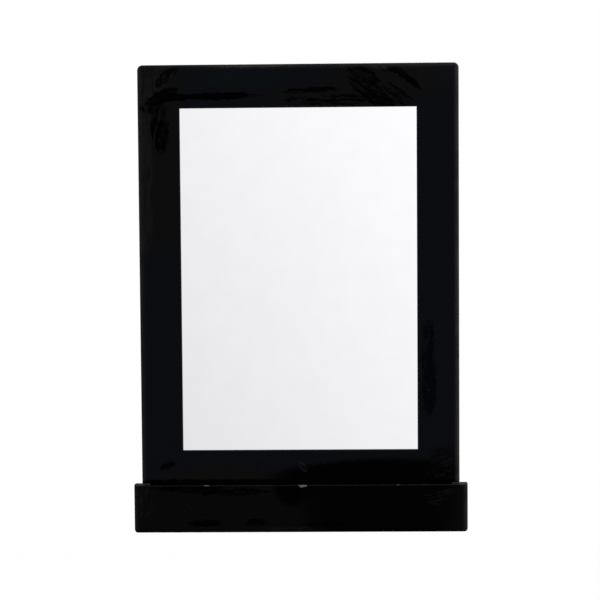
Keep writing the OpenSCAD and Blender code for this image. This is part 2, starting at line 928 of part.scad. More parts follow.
module drawer_front() {
    color(lacquer) difference() {
        intersection() {
            standing(door_back, front_t)
                rounded_panel([-front_half, front_bottom], [front_half, front_top], front_corner_r, false);
            translate([0, 0, front_bottom]) linear_extrude(front_h)
                rounded_panel([-front_half, front_face], [front_half, door_back], front_edge_r, false);
        }
        at_front_screws()
            cylinder(h = drawer_end_t + front_screw_bite + end_play, r = front_screw_r + hole_play);
    }
}

module drawer_inner_front() {
    color(board_black) difference() {
        block([-box_inner, door_back, box_bottom], [box_inner, inner_front_rear, box_top]);
        bottom_groove();
        at_drawer_dowels() dowel_hole(drawer_dowel_l, drawer_dowel_r);
        at_front_screws() translate([0, 0, -cut_past])
            cylinder(h = drawer_end_t + 2 * cut_past, r = front_screw_r + hole_play);
    }
}

module drawer_side(side) {
    inner = side * box_inner;
    outer = side * box_half;
    clear = outer + side * cut_past;
    groove = outer - side * runner_groove_d;
    color(board_black) difference() {
        block([min(inner, outer), door_back, box_bottom], [max(inner, outer), box_rear, box_top]);
        block([min(clear, groove), runner_front - runner_side_play, runner_z - runner_h / 2 - runner_play],
              [max(clear, groove), box_rear + cut_past, runner_z + runner_h / 2 + runner_play]);
        bottom_groove();
        at_drawer_dowels() dowel_hole(drawer_dowel_l, drawer_dowel_r);
    }
}

module drawer_side_left() {
    drawer_side(-1);
}

module drawer_side_right() {
    drawer_side(1);
}

// The back board stands taller than the sides, so that it meets the stop rail.
module drawer_back() {
    color(board_black) difference() {
        block([-box_inner, back_board_front, box_bottom],
              [box_inner, box_rear, floor_bottom - stop_rail_t + stop_bite]);
        bottom_groove();
        at_drawer_dowels() dowel_hole(drawer_dowel_l, drawer_dowel_r);
    }
}

module drawer_bottom() {
    reach = bottom_groove_d - groove_end_play;
    color(hardboard)
        block([-box_inner - reach, inner_front_rear - reach, bottom_z],
              [box_inner + reach, back_board_front + reach, bottom_z + drawer_bottom_t]);
}

module drawer_dowels() {
    color(beech) at_drawer_dowels() dowel(drawer_dowel_l, drawer_dowel_r);
}

module drawer_front_screws() {
    color(steel) at_front_screws() {
        cylinder(h = drawer_end_t + front_screw_bite, r = front_screw_r);
        translate([0, 0, -front_screw_head_h]) cylinder(h = front_screw_head_h, r = front_screw_head_r);
    }
}

module drawer_bumpers() {
    z = (front_bottom + front_top) / 2;
    color(silicone) for (side = [-1, 1])
        translate([side * (carcass_half - board_t / 2), door_back, z]) rotate([-90, 0, 0])
            cylinder(h = door_gap - stop_play, r = bumper_r);
}

side_panel_left();
side_panel_right();
top_panel();
cupboard_floor();
base_panel();
back_panel();
hanging_rail();
steadying_rail();
carcass_dowels();
glass_shelf_upper();
glass_shelf_lower();
shelf_pins();
hinge_upper_body_leaf();
hinge_lower_body_leaf();
hinge_upper_pin();
hinge_lower_pin();
hinge_body_screws();
catch_housing();
catch_magnet();
catch_pole_plates();
catch_screws();
drawer_runner_left();
drawer_runner_right();
runner_screws();
drawer_stop_rail();
stop_rail_screws();
door_stile_left();
door_stile_right();
door_rail_top();
door_rail_bottom();
door_dowels();
mirror_glass();
mirror_backing_board();
bead_left();
bead_right();
bead_top();
bead_bottom();
bead_pins();
hinge_upper_door_leaf();
hinge_lower_door_leaf();
hinge_door_screws();
strike_plate();
strike_plate_screws();
door_bumpers();
drawer_front();
drawer_inner_front();
drawer_side_left();
drawer_side_right();
drawer_back();
drawer_bottom();
drawer_dowels();
drawer_front_screws();
drawer_bumpers();
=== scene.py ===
"""Looks of a mirrored wall cabinet: finishes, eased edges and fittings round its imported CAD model.

Every piece is in metres in the model's own frame: +X to the right, +Y into the wall, +Z up.
Sizes named here in millimetres repeat the model's own, and places come from the model's nodes.
"""

import logging
import math
from dataclasses import dataclass
from enum import Enum

import bmesh
import bpy
import numpy as np
from mathutils import Matrix, Vector


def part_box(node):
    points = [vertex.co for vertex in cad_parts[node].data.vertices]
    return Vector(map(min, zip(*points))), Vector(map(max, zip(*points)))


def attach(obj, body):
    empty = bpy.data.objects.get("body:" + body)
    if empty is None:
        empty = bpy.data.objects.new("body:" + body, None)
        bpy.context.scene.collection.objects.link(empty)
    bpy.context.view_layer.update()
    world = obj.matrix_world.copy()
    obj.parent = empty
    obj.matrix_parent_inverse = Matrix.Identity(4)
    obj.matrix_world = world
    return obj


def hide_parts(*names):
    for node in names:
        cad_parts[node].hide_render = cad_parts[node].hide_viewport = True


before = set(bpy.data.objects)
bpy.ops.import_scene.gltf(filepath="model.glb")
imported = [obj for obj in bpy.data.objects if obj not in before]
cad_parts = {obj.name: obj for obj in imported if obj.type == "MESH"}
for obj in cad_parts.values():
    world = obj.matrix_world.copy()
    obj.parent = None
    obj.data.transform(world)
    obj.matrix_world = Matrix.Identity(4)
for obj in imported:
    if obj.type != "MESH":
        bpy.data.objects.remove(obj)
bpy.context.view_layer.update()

log = logging.getLogger("wall_cabinet")

Tree = bpy.types.NodeTree
Socket = bpy.types.NodeSocket

MM = 0.001
DRAWER_FACE_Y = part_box("drawer_front")[0].y    # metres

ROUND_STEPS = 12       # steps round a rounded front edge
ARRIS_STEPS = 4        # steps round a small eased edge
BOARD_STEPS = 3        # steps round a board's eased edge
CORNER_STEPS = 5       # steps round an upright corner of a shelf
DOT_STEPS = 40         # steps round a silicone dot
DOT_ROWS = 14          # rows from the rim of a silicone dot to its middle
BEVEL_SAMPLES = 4      # rays that a Bevel node casts
SHARP_DEG = 35.0       # an edge that turns more than this is shaded sharp
CORNER_DEG = 60.0      # an edge of a board that turns more than this is eased
FLAT_DEG = 0.3         # faces of a board that turn less than this are joined
SHORT_MM = 8.0         # edges of a board up to this length stay sharp
SAME_PLACE = 1e-6      # metres, within which two points are one
IN_PLANE = 1e-5        # metres, within which a point lies in a plane


class Side(Enum):
    """The left or right end of the cabinet, as seen from the front."""

    LEFT = -1
    RIGHT = 1


class Head(Enum):
    """The head of a screw."""

    COUNTERSUNK = "countersunk"
    PAN = "pan"


# Colours and shader nodes


def linear(hex_colour: str) -> tuple[float, float, float, float]:
    """Turn an sRGB hex colour to linear light.

    Dark values are divided by 12.92. The others are shifted, then raised to the power 2.4.

    Args:
        hex_colour: six hex digits after a hash mark.

    Returns:
        Red, green, blue and an alpha of 1 for a shader socket.
    """
    parts = np.array([int(hex_colour[i : i + 2], 16) for i in (1, 3, 5)]) / 255.0
    light = np.where(parts <= 0.04045, parts / 12.92, ((parts + 0.055) / 1.055) ** 2.4)
    return (*(float(v) for v in light), 1.0)


def add_node(
    tree: Tree,
    kind: str,
    values: dict | None = None,
    links: dict | None = None,
    **settings: object,
) -> bpy.types.Node:
    """Add a shader node with its settings, socket values and links.

    Args:
        tree: the node tree of a material or of the world.
        kind: Blender's name for the node's type.
        values: numbers or colours for input sockets, by name or place.
        links: output sockets to join to input sockets, by name or place.
        settings: properties of the node itself.

    Returns:
        The new node.
    """
    node = tree.nodes.new(kind)
    for key, value in settings.items():
        setattr(node, key, value)
    for key, value in (values or {}).items():
        node.inputs[key].default_value = value
    for key, socket in (links or {}).items():
        tree.links.new(socket, node.inputs[key])
    return node


def per_metre(size_mm: float) -> float:
    """Scale of a pattern whose features are this many millimetres apart."""
    return 1.0 / (size_mm * MM)


@dataclass(frozen=True)
class Cut:
    """Values from low to high, stretched to run from least to most."""

    low: float = 0.0
    high: float = 1.0
    least: float = 0.0
    most: float = 1.0

    def sockets(self) -> dict[str, float]:
        """Return the four numbers under the names of a Map Range node's sockets."""
        names = ("From Min", "From Max", "To Min", "To Max")
        return dict(zip(names, (self.low, self.high, self.least, self.most)))


@dataclass(frozen=True)
class Patches:
    """A cloudy pattern: a noise, and the cut that makes a mask or a roughness of it."""

    size_mm: float             # across one patch
    cut: Cut
    detail: float = 4.0        # how many finer noises are laid over the first
    roughness: float = 0.5     # how much each of them counts
    distortion: float = 0.0    # how far the patches are drawn out of shape

    def draw(self, tree: Tree, place: Socket) -> Socket:
        """Add the pattern to a material.

        Args:
            tree: the material's node tree.
            place: where the pattern is read, in metres.

        Returns:
            The noise after its cut.
        """
        noise = add_node(
            tree, "ShaderNodeTexNoise",
            {
                "Scale": per_metre(self.size_mm), "Detail": self.detail,
                "Roughness": self.roughness, "Distortion": self.distortion,
            },
            {"Vector": place},
        ).outputs["Fac"]
        return add_node(
            tree, "ShaderNodeMapRange", self.cut.sockets(), {"Value": noise}
        ).outputs["Result"]


@dataclass(frozen=True)
class Surface:
    """A material while it is being made."""

    tree: Tree
    shader: bpy.types.Node         # its Principled shader
    place: Socket                  # object coordinates, in metres
    edge: Cut = Cut(0.995, 0.8)    # cosines of a turn at which an edge starts and is full

    def edges(self, reach_mm: float) -> Socket:
        """Mask of the edges: where the normal averaged over a small ball leaves the true one.

        Args:
            reach_mm: radius of that ball.

        Returns:
            The mask, 0 on flat faces and 1 on an edge.
        """
        around = add_node(
            self.tree, "ShaderNodeBevel", {"Radius": reach_mm * MM}, samples=BEVEL_SAMPLES
        ).outputs[0]
        true = add_node(self.tree, "ShaderNodeNewGeometry").outputs["Normal"]
        alike = add_node(
            self.tree, "ShaderNodeVectorMath", links={0: around, 1: true},
            operation="DOT_PRODUCT",
        ).outputs["Value"]
        return add_node(
            self.tree, "ShaderNodeMapRange", self.edge.sockets(), {"Value": alike}
        ).outputs["Result"]

    def shade(self, pattern: Socket, colours: tuple[str, str], dull: Cut | None = None) -> None:
        """Blend two colours by a pattern, and let it dull the surface.

        Args:
            pattern: the pattern, from 0 to 1.
            colours: hex colours where it is 0 and where it is 1.
            dull: how the pattern becomes a roughness, or None to leave the roughness alone.
        """
        blend = add_node(
            self.tree, "ShaderNodeMix", {6: linear(colours[0]), 7: linear(colours[1])},
            {0: pattern}, data_type="RGBA",
        ).outputs[2]
        self.tree.links.new(blend, self.shader.inputs["Base Color"])
        if dull is not None:
            roughness = add_node(
                self.tree, "ShaderNodeMapRange", dull.sockets(), {"Value": pattern}
            ).outputs["Result"]
            self.tree.links.new(roughness, self.shader.inputs["Roughness"])

    def bump(self, height: Socket, depth_mm: float, ease_mm: float = 0.0) -> None:
        """Raise the surface by a pattern, over edges that are eased in the shading.

        Args:
            height: the pattern, from 0 to 1.
            depth_mm: how high the pattern stands at 1.
            ease_mm: radius that rounds the edges, or 0 to leave them as they are.
        """
        links = {"Height": height}
        if ease_mm > 0:
            eased = add_node(
                self.tree, "ShaderNodeBevel", {"Radius": ease_mm * MM}, samples=BEVEL_SAMPLES
            )
            links["Normal"] = eased.outputs[0]
        raised = add_node(self.tree, "ShaderNodeBump", {"Distance": depth_mm * MM}, links)
        self.tree.links.new(raised.outputs[0], self.shader.inputs["Normal"])


# The finishes

# Grain, flecks, fibres, specks and rubbing marks are a few tenths of a millimetre across on the
# real materials. They are drawn several times as coarse, because finer ones don't show.


@dataclass(frozen=True)
class Finish:
    """A finish that can be put on any piece. Each kind fills in its own shader."""

    name: str

    def material(self) -> bpy.types.Material:
        """Make the material of the finish, or find it when it is there already.

        Returns:
            The material.
        """
        found = bpy.data.materials.get(self.name)
        if found is not None:
            return found
        made = bpy.data.materials.new(self.name)
        made.use_nodes = True
        tree = made.node_tree
        tree.nodes.clear()
        shader = add_node(tree, "ShaderNodeBsdfPrincipled")
        add_node(tree, "ShaderNodeOutputMaterial", links={"Surface": shader.outputs["BSDF"]})
        place = add_node(tree, "ShaderNodeTexCoord").outputs["Object"]
        self.fill(Surface(tree, shader, place))
        return made

    def fill(self, on: Surface) -> None:
        """Put the finish on a surface. Each kind of finish does this its own way."""
        raise NotImplementedError


@dataclass(frozen=True)
class Spot:
    """A soft oval spot on the lacquer, in the model's frame. Sizes in mm."""

    x: float                   # its middle, which lies on the drawer's front face
    z: float
    length: float
    width: float
    turn_deg: float = 0.0      # how steeply its length rises to the right
    strength: float = 1.0
    depth: float = 30.0        # its size from front to back


@dataclass(frozen=True)
class Layer:
    """A colour that shows in some spots, over the layers before it.

    Strokes in one direction break the spots up, unless that direction is None.
    """

    hex_colour: str
    spots: tuple[Spot, ...]
    stroke_deg: float | None = None


# Tones over the film on the door and the drawer front: patches of painted reflection, a band of
# painted shade, wiped strokes, scuffs, dust and chips.
LAYERS = (
    # Greener along the top and the right-hand inner edge.
    Layer(
        "#0a0f10",
        (
            Spot(-85, 29, 130, 30, 0, 0.8),
            Spot(179, -392, 8, 130, 0, 0.7),
        ),
    ),
    # Greyer, less blue, at the upper left, the top and the lower left.
    Layer(
        "#0c0c0c",
        (
            Spot(-212, -80, 110, 340),
            Spot(57, 2, 270, 32),
            Spot(-125, -564, 200, 26),
            Spot(128, 20, 190, 64),
        ),
    ),
    # Greyer in upright strokes, down the left edge.
    Layer(
        "#121212",
        (
            Spot(-231, -110, 34, 320, 0, 0.55),
            Spot(-216, 16, 60, 44, 0, 0.52),
        ),
        90,
    ),
    # Painted dark reflection in places, most of all at the drawer's right, and painted shade under
    # the door's lower edge, where its rounding faces down.
    Layer(
        "#010101",
        (
            Spot(104, -616, 220, 130, 0, 0.8),
            Spot(164, -616, 150, 130, 0, 0.8),
            Spot(78, -562, 270, 42, 4),
            Spot(150, -563, 220, 46, 3, 0.94),
            Spot(214, -560, 60, 80, 0, 0.6),
            # Painted shade: the door's lower rounding faces down, away from the light.
            Spot(0, -576, 2000, 10),
            Spot(-16, -590, 56, 46, -40, 0.94),
            Spot(2, -588, 90, 40, 0, 0.8),
            Spot(46, -632, 50, 22, 30, 0.9),
        ),
    ),
    # Wiped through by nearly level strokes, at the top, at the bottom and on the drawer.
    Layer(
        "#010101",
        (
            Spot(-202, 3, 60, 24, 22, 0.74),
            Spot(-180, 2, 60, 13, 1, 0.9),
            Spot(-122, 3, 150, 13, 1, 0.78),
            Spot(21, 11, 96, 10, 3, 0.64),
            Spot(60, -4, 190, 20, 0, 0.5),
            Spot(-131, -588, 220, 16, -2, 0.6),
            Spot(-144, -638, 60, 13, 0, 0.8),
            Spot(-68, -637, 36, 12, 0, 0.7),
            Spot(-200, -550, 30, 13, 20, 0.7),
            Spot(34, -640, 80, 12, 0, 0.6),
            Spot(208, -590, 50, 22, 0, 0.6),
        ),
        2,
    ),
    # Rising strokes at the upper left corner.
    Layer(
        "#010101",
        (
            Spot(-194, 34, 50, 18, 38, 0.66),
            Spot(-206, 24, 24, 12, 60, 0.6),
            Spot(-236, -14, 14, 8, 0, 0.8),
        ),
        48,
    ),
    # Upright strokes low on the right stile and high on the left one.
    Layer("#03040a", (Spot(193, -407, 28, 190, 0, 0.6),), 91),
    Layer(
        "#010101",
        (
            Spot(-206, -46, 34, 84, 0, 0.6),
            Spot(-214, -14, 54, 22, 0, 0.56),
        ),
        84,
    ),
    # Falling strokes on the right half of the top rail.
    Layer(
        "#010101",
        (
            Spot(98, 33, 66, 26, -30, 0.6),
            Spot(112, 5, 100, 34, -34, 0.6),
            Spot(164, 27, 66, 14, -44, 0.64),
            Spot(133, 44, 74, 14, -16, 0.62),
            Spot(150, 2, 76, 26, -36, 0.5),
        ),
        -34,
    ),
    # Faint grey scuffs.
    Layer(
        "#141413",
        (
            Spot(3, -553, 26, 10, -50, 0.56),
            Spot(122, 43, 30, 8, -10, 0.56),
        ),
        -30,
    ),
    Layer(
        "#0d0d0e",
        (
            Spot(208, -550, 60, 54, 0, 0.43),
            Spot(214, -600, 70, 36, 0, 0.43),
            Spot(-22, -646, 90, 6, 0, 0.66),
        ),
        14,
    ),
    Layer(
        "#121211",
        (
            Spot(-238, -606, 40, 60, 0, 0.42),
            Spot(-206, 34, 50, 24, 0, 0.4),
        ),
        60,
    ),
    # A streak of dust along the top edge.
    Layer("#35322b", (Spot(-68, 49, 150, 7, 0, 0.45),)),
    # A few chips on the drawer's upper front edge.
    Layer(
        "#5f5b54",
        (
            Spot(-143, -580.6, 9, 3, 0, 0.8, 4),
            Spot(3, -581, 14, 4, -6, 0.8, 4),
            Spot(147, -580.6, 8, 3, 0, 0.8, 4),
        ),
        2,
    ),
)


@dataclass(frozen=True)
class GlossLacquer(Finish):
    """Black nitrocellulose lacquer, sprayed on MDF and flatted by hand.

    To the eye it is a deep black. Its colours carry painted reflection: a thin bluish grey over the
    faces, wiped through in strokes, and a lighter painted sheen along the rounded edges.
    """

    # black, with the bluish grey of a blurry reflection painted in
    film: str = "#0b0c10"
    speck: str = "#3b3a38"
    # painted sheen of the rounded edges
    edge_sheen: str = "#42403e"
    # chips, and the painted glint along the thin arrises
    chip_and_glint: str = "#6a655c"
    shine: float = 0.0025                          # the reflection is painted into the colours instead
    roughness: float = 0.3
    peel_mm: float = 2.5                           # across a bump of the sprayed coat
    peel_depth_mm: float = 0.012
    ragged_mm: float = 10.0                        # size and reach of a spot's ragged rim
    rim: tuple[float, float] = (1.15, 0.65)        # its start and end, in half sizes
    stroke_mm: tuple[float, float] = (22.0, 2.8)   # length and width of a wiping stroke
    stroke_weight: float = 1.6                     # what the strokes add to a spot's mask
    stroke_cut: Cut = Cut(1.2, 1.44)               # what of that sum is left
    sheen_to_right: Cut = Cut(-220 * MM, 220 * MM, 0.34)  # how the painted sheen grows from left to right, stronger where the reflection is brighter
    wear_and_sheen: Patches = Patches(22.0, Cut(0.3, 0.65, 0.55, 1.1), roughness=0.65)  # patches in the painted sheen
    chip_and_glint_patches: Patches = Patches(7.0, Cut(0.58, 0.68, 0.12), roughness=0.7)        # chips and a painted glint on an arris
    dust: Patches = Patches(2.0, Cut(0.7, 0.78), detail=2.0)                  # one speck
    dusty_place: Patches = Patches(50.0, Cut(0.5, 0.6), detail=2.0)           # many specks

    def fill(self, on: Surface) -> None:
        """Lay the layers over the film, then paint the sheen on the rounded edges, and the chips and
        the glint on the arrises.

        Args:
            on: the surface that is made.
        """
        on.shader.inputs["Specular IOR Level"].default_value = self.shine
        on.shader.inputs["Roughness"].default_value = self.roughness
        ragged = self.wandered(on)
        marks = [(self.mask(ragged, layer), layer.hex_colour) for layer in LAYERS]
        marks.append((self.specks(on), self.speck))
        marks.append((self.painted_sheen(on), self.edge_sheen))
        marks.append((self.chips_and_glint(on), self.chip_and_glint))
        base = add_node(on.tree, "ShaderNodeRGB")
        base.outputs[0].default_value = linear(self.film)
        colour = base.outputs[0]
        for mask, hex_colour in marks:
            colour = add_node(
                on.tree, "ShaderNodeMix", {7: linear(hex_colour)}, {0: mask, 6: colour},
                data_type="RGBA",
            ).outputs[2]
        on.tree.links.new(colour, on.shader.inputs["Base Color"])
        peel = add_node(
            on.tree, "ShaderNodeTexNoise",
            {"Scale": per_metre(self.peel_mm), "Detail": 1.0}, {"Vector": on.place},
        ).outputs["Fac"]
        on.bump(peel, self.peel_depth_mm)

    def wandered(self, on: Surface) -> Surface:
        """Shift the places a little, so that the rims of the spots wander.

        A place moves by three values of a noise, less a half each, times the reach.

        Args:
            on: the surface that is made.

        Returns:
            The same surface, read at the shifted places.
        """
        noise = add_node(
            on.tree, "ShaderNodeTexNoise",
            {"Scale": per_metre(self.ragged_mm), "Detail": 4.0, "Roughness": 0.65},
            {"Vector": on.place},
        ).outputs["Color"]
        centred = add_node(
            on.tree, "ShaderNodeVectorMath", {1: (0.5, 0.5, 0.5)}, {0: noise},
            operation="SUBTRACT",
        ).outputs[0]
        shifted = add_node(
            on.tree, "ShaderNodeVectorMath", {1: (self.ragged_mm * MM,) * 3},
            {0: centred, 2: on.place}, operation="MULTIPLY_ADD",
        ).outputs[0]
        return Surface(on.tree, on.shader, shifted)

    def spot_mask(self, on: Surface, spot: Spot) -> Socket:
        """Mask of one spot.

        It falls from the spot's strength to 0 with the length of a point's offset from the
        spot's middle, turned into the spot's own direction and divided by half the spot's
        length, depth and width.

        Args:
            on: the surface, read at the shifted places.
            spot: the spot.

        Returns:
            The mask, as high as the spot is strong.
        """
        # A texture mapping takes the middle off, turns back and divides by the half sizes.
        sizes = (spot.length, spot.depth, spot.width)
        local = add_node(
            on.tree, "ShaderNodeMapping",
            {
                "Location": (spot.x * MM, DRAWER_FACE_Y, spot.z * MM),
                "Rotation": (0.0, -math.radians(spot.turn_deg), 0.0),
                "Scale": tuple(size / 2 * MM for size in sizes),
            },
            {"Vector": on.place}, vector_type="TEXTURE",
        ).outputs[0]
        reach = add_node(
            on.tree, "ShaderNodeVectorMath", links={0: local}, operation="LENGTH"
        ).outputs["Value"]
        return add_node(
            on.tree, "ShaderNodeMapRange", Cut(*self.rim, most=spot.strength).sockets(),
            {"Value": reach}, interpolation_type="SMOOTHSTEP",
        ).outputs["Result"]

    def mask(self, on: Surface, layer: Layer) -> Socket:
        """Join the spots of a layer into one mask.

        The highest mask counts at each point. A streaky noise, long in the layer's
        direction, is added and the sum is cut, which leaves ragged strokes.

        Args:
            on: the surface, read at the shifted places.
            layer: the layer.

        Returns:
            The mask, 1 where the layer's colour shows.
        """
        whole, *others = [self.spot_mask(on, spot) for spot in layer.spots]
        for other in others:
            whole = add_node(
                on.tree, "ShaderNodeMath", links={0: whole, 1: other}, operation="MAXIMUM"
            ).outputs[0]
        if layer.stroke_deg is None:
            return whole
        length, width = self.stroke_mm
        along = add_node(
            on.tree, "ShaderNodeMapping",
            {
                "Rotation": (0.0, -math.radians(layer.stroke_deg), 0.0),
                "Scale": (length * MM, length * MM, width * MM),
            },
            {"Vector": on.place}, vector_type="TEXTURE",
        ).outputs[0]
        streaks = add_node(
            on.tree, "ShaderNodeTexNoise", {"Scale": 1.0, "Detail": 4.0, "Roughness": 0.6},
            {"Vector": along},
        ).outputs["Fac"]
        both = add_node(
            on.tree, "ShaderNodeMath", {1: self.stroke_weight}, {0: streaks, 2: whole},
            operation="MULTIPLY_ADD",
        ).outputs[0]
        return add_node(
            on.tree, "ShaderNodeMapRange", self.stroke_cut.sockets(), {"Value": both}
        ).outputs["Result"]

    def specks(self, on: Surface) -> Socket:
        """Mask of dust specks: the peaks of a fine noise, gathered where a wide one is high.

        Args:
            on: the surface that is made.

        Returns:
            The mask, 1 inside a speck.
        """
        fine, wide = (each.draw(on.tree, on.place) for each in (self.dust, self.dusty_place))
        return add_node(
            on.tree, "ShaderNodeMath", links={0: fine, 1: wide}, operation="MULTIPLY"
        ).outputs[0]

    def painted_sheen(self, on: Surface) -> Socket:
        """Mask of the painted sheen on the rounded edges: the mesh's own value for it, patchy,
        stronger at the right.

        Args:
            on: the surface that is made.

        Returns:
            The mask, 1 where the painted sheen is brightest.
        """
        edge = add_node(on.tree, "ShaderNodeAttribute", attribute_name="painted_sheen").outputs["Fac"]
        x = add_node(on.tree, "ShaderNodeSeparateXYZ", links={0: on.place}).outputs["X"]
        sheen_to_right = add_node(
            on.tree, "ShaderNodeMapRange", self.sheen_to_right.sockets(), {"Value": x}
        ).outputs["Result"]
        edge_sheen = edge
        for share in (sheen_to_right, self.wear_and_sheen.draw(on.tree, on.place)):
            edge_sheen = add_node(
                on.tree, "ShaderNodeMath", links={0: edge_sheen, 1: share}, operation="MULTIPLY"
            ).outputs[0]
        return edge_sheen

    def chips_and_glint(self, on: Surface) -> Socket:
        """Mask of small chips, and a faint painted glint between them, which lie only on the thin
        arrises.

        Args:
            on: the surface that is made.

        Returns:
            The mask, 1 inside a chip.
        """
        thin = add_node(on.tree, "ShaderNodeAttribute", attribute_name="arris").outputs["Fac"]
        return add_node(
            on.tree, "ShaderNodeMath", links={0: thin, 1: self.chip_and_glint_patches.draw(on.tree, on.place)},
            operation="MULTIPLY",
        ).outputs[0]


@dataclass(frozen=True)
class SatinLacquer(Finish):
    """Black satin lacquer rolled on MDF boards.

    It gives an even dark grey with a fine stipple, thinner and greyer along the edges.
    """

    colour: str = "#0c0c0d"
    wear_and_sheen: str = "#2c2b2a"
    worn_mm: float = 1.2                       # how far the wear reaches in from an edge
    shine: float = 0.17
    sheen: Cut = Cut(0.3, 0.7, 0.38, 0.52)     # how the mottle becomes a roughness
    mottle_mm: float = 60.0                    # across a patch of the mottle
    stipple_mm: float = 1.6                    # between the dots that the roller left
    stipple_depth_mm: float = 0.04
    ease_mm: float = 0.5                       # rounds the edges in the shading

    def fill(self, on: Surface) -> None:
        """Mottle the grey, thin it at the edges and stipple the surface.

        Args:
            on: the surface that is made.
        """
        on.shader.inputs["Specular IOR Level"].default_value = self.shine
        mottle = add_node(
            on.tree, "ShaderNodeTexNoise",
            {"Scale": per_metre(self.mottle_mm), "Detail": 4.0}, {"Vector": on.place},
        ).outputs["Fac"]
        sheen = add_node(
            on.tree, "ShaderNodeMapRange", self.sheen.sockets(), {"Value": mottle}
        ).outputs["Result"]
        on.tree.links.new(sheen, on.shader.inputs["Roughness"])
        patchy = add_node(
            on.tree, "ShaderNodeMath", links={0: on.edges(self.worn_mm), 1: mottle},
            operation="MULTIPLY",
        ).outputs[0]
        on.shade(patchy, (self.colour, self.wear_and_sheen))
        stipple = add_node(
            on.tree, "ShaderNodeTexNoise",
            {"Scale": per_metre(self.stipple_mm), "Detail": 2.0}, {"Vector": on.place},
        ).outputs["Fac"]
        on.bump(stipple, self.stipple_depth_mm, self.ease_mm)


@dataclass(frozen=True)
class Hardboard(Finish):
    """Oil-tempered hardboard, hot-pressed from wood fibre.

    It shows a dark brown with fine lighter fibres, dull, with a faint screen pattern.
    """

    colour: str = "#2c2724"
    fibre: str = "#4a3e33"
    shine: float = 0.3
    roughness: float = 0.62
    fibres: Patches = Patches(
        3.0, Cut(0.48, 0.72), detail=5.0, roughness=0.75, distortion=1.5
    )
    screen_mm: float = 2.4         # between the wires of the press's screen
    screen_stray: float = 0.15     # how unevenly they lie
    screen_depth_mm: float = 0.08
    ease_mm: float = 0.4           # rounds the edges in the shading

    def fill(self, on: Surface) -> None:
        """Scatter fibres over the brown and press the screen into it.

        Args:
            on: the surface that is made.
        """
        on.shader.inputs["Roughness"].default_value = self.roughness
        on.shader.inputs["Specular IOR Level"].default_value = self.shine
        on.shade(self.fibres.draw(on.tree, on.place), (self.colour, self.fibre))
        screen = add_node(
            on.tree, "ShaderNodeTexVoronoi",
            {"Scale": per_metre(self.screen_mm), "Randomness": self.screen_stray},
            {"Vector": on.place},
        ).outputs["Distance"]
        on.bump(screen, self.screen_depth_mm, self.ease_mm)


@dataclass(frozen=True)
class Beech(Finish):
    """Turned beech dowel, unfinished: pale pinkish brown with short dark flecks along it."""

    colour: str = "#c79f72"
    fleck: str = "#8e6440"
    roughness: float = 0.6
    fleck_mm: float = 0.7          # width of a fleck
    fleck_depth_mm: float = 0.1
    drawn_out: float = 0.15        # a fleck's width as a share of its length

    def fill(self, on: Surface) -> None:
        """Draw flecks that are long in X, the dowels' own direction.

        Args:
            on: the surface that is made.
        """
        on.shader.inputs["Roughness"].default_value = self.roughness
        drawn = add_node(
            on.tree, "ShaderNodeMapping", {"Scale": (self.drawn_out, 1.0, 1.0)},
            {"Vector": on.place},
        ).outputs[0]
        flecks = add_node(
            on.tree, "ShaderNodeTexNoise",
            {"Scale": per_metre(self.fleck_mm), "Detail": 3.0}, {"Vector": drawn},
        ).outputs["Fac"]
        on.shade(flecks, (self.colour, self.fleck))
        on.bump(flecks, self.fleck_depth_mm)


@dataclass(frozen=True)
class SilveredGlass(Finish):
    """Silvered float glass: a bright mirror with a trace of dust and wiping marks."""

    silver: str = "#fafafa"
    dusty: str = "#e4e5e6"
    marks: Patches = Patches(
        70.0, Cut(0.5, 0.75, 0.006, 0.03), detail=5.0, roughness=0.6
    )
    marks_deg: float = 25.0        # how far the wiping marks lean
    drawn_out: float = 0.25        # their width as a share of their length
    dust: Patches = Patches(35.0, Cut(0.35, 0.7, 0.0, 0.12), detail=6.0)

    def fill(self, on: Surface) -> None:
        """Make a metal mirror that is dulled a little along its wiping marks.

        Args:
            on: the surface that is made.
        """
        on.shader.inputs["Metallic"].default_value = 1.0
        drawn = add_node(
            on.tree, "ShaderNodeMapping",
            {
                "Rotation": (0.0, math.radians(self.marks_deg), 0.0),
                "Scale": (1.0, 1.0, self.drawn_out),
            },
            {"Vector": on.place},
        ).outputs[0]
        on.tree.links.new(self.marks.draw(on.tree, drawn), on.shader.inputs["Roughness"])
        on.shade(self.dust.draw(on.tree, on.place), (self.silver, self.dusty))


@dataclass(frozen=True)
class FloatGlass(Finish):
    """Clear float glass. Its ground and polished edges look green from iron in the glass."""

    tint: str = "#f2faf7"
    dusty: str = "#dcebe5"
    ior: float = 1.52              # of soda-lime glass
    roughness: float = 0.0
    dust_dull: float = 0.06        # what the dust adds to the roughness
    dust_mm: float = 40.0          # across a patch of dust

    def fill(self, on: Surface) -> None:
        """Let light through, with a faint film of dust in the roughness.

        Args:
            on: the surface that is made.
        """
        on.shader.inputs["Transmission Weight"].default_value = 1.0
        on.shader.inputs["IOR"].default_value = self.ior
        dust = add_node(
            on.tree, "ShaderNodeTexNoise",
            {"Scale": per_metre(self.dust_mm), "Detail": 5.0}, {"Vector": on.place},
        ).outputs["Fac"]
        film = Cut(0.4, 0.8, self.roughness, self.roughness + self.dust_dull)
        on.shade(dust, (self.tint, self.dusty), film)


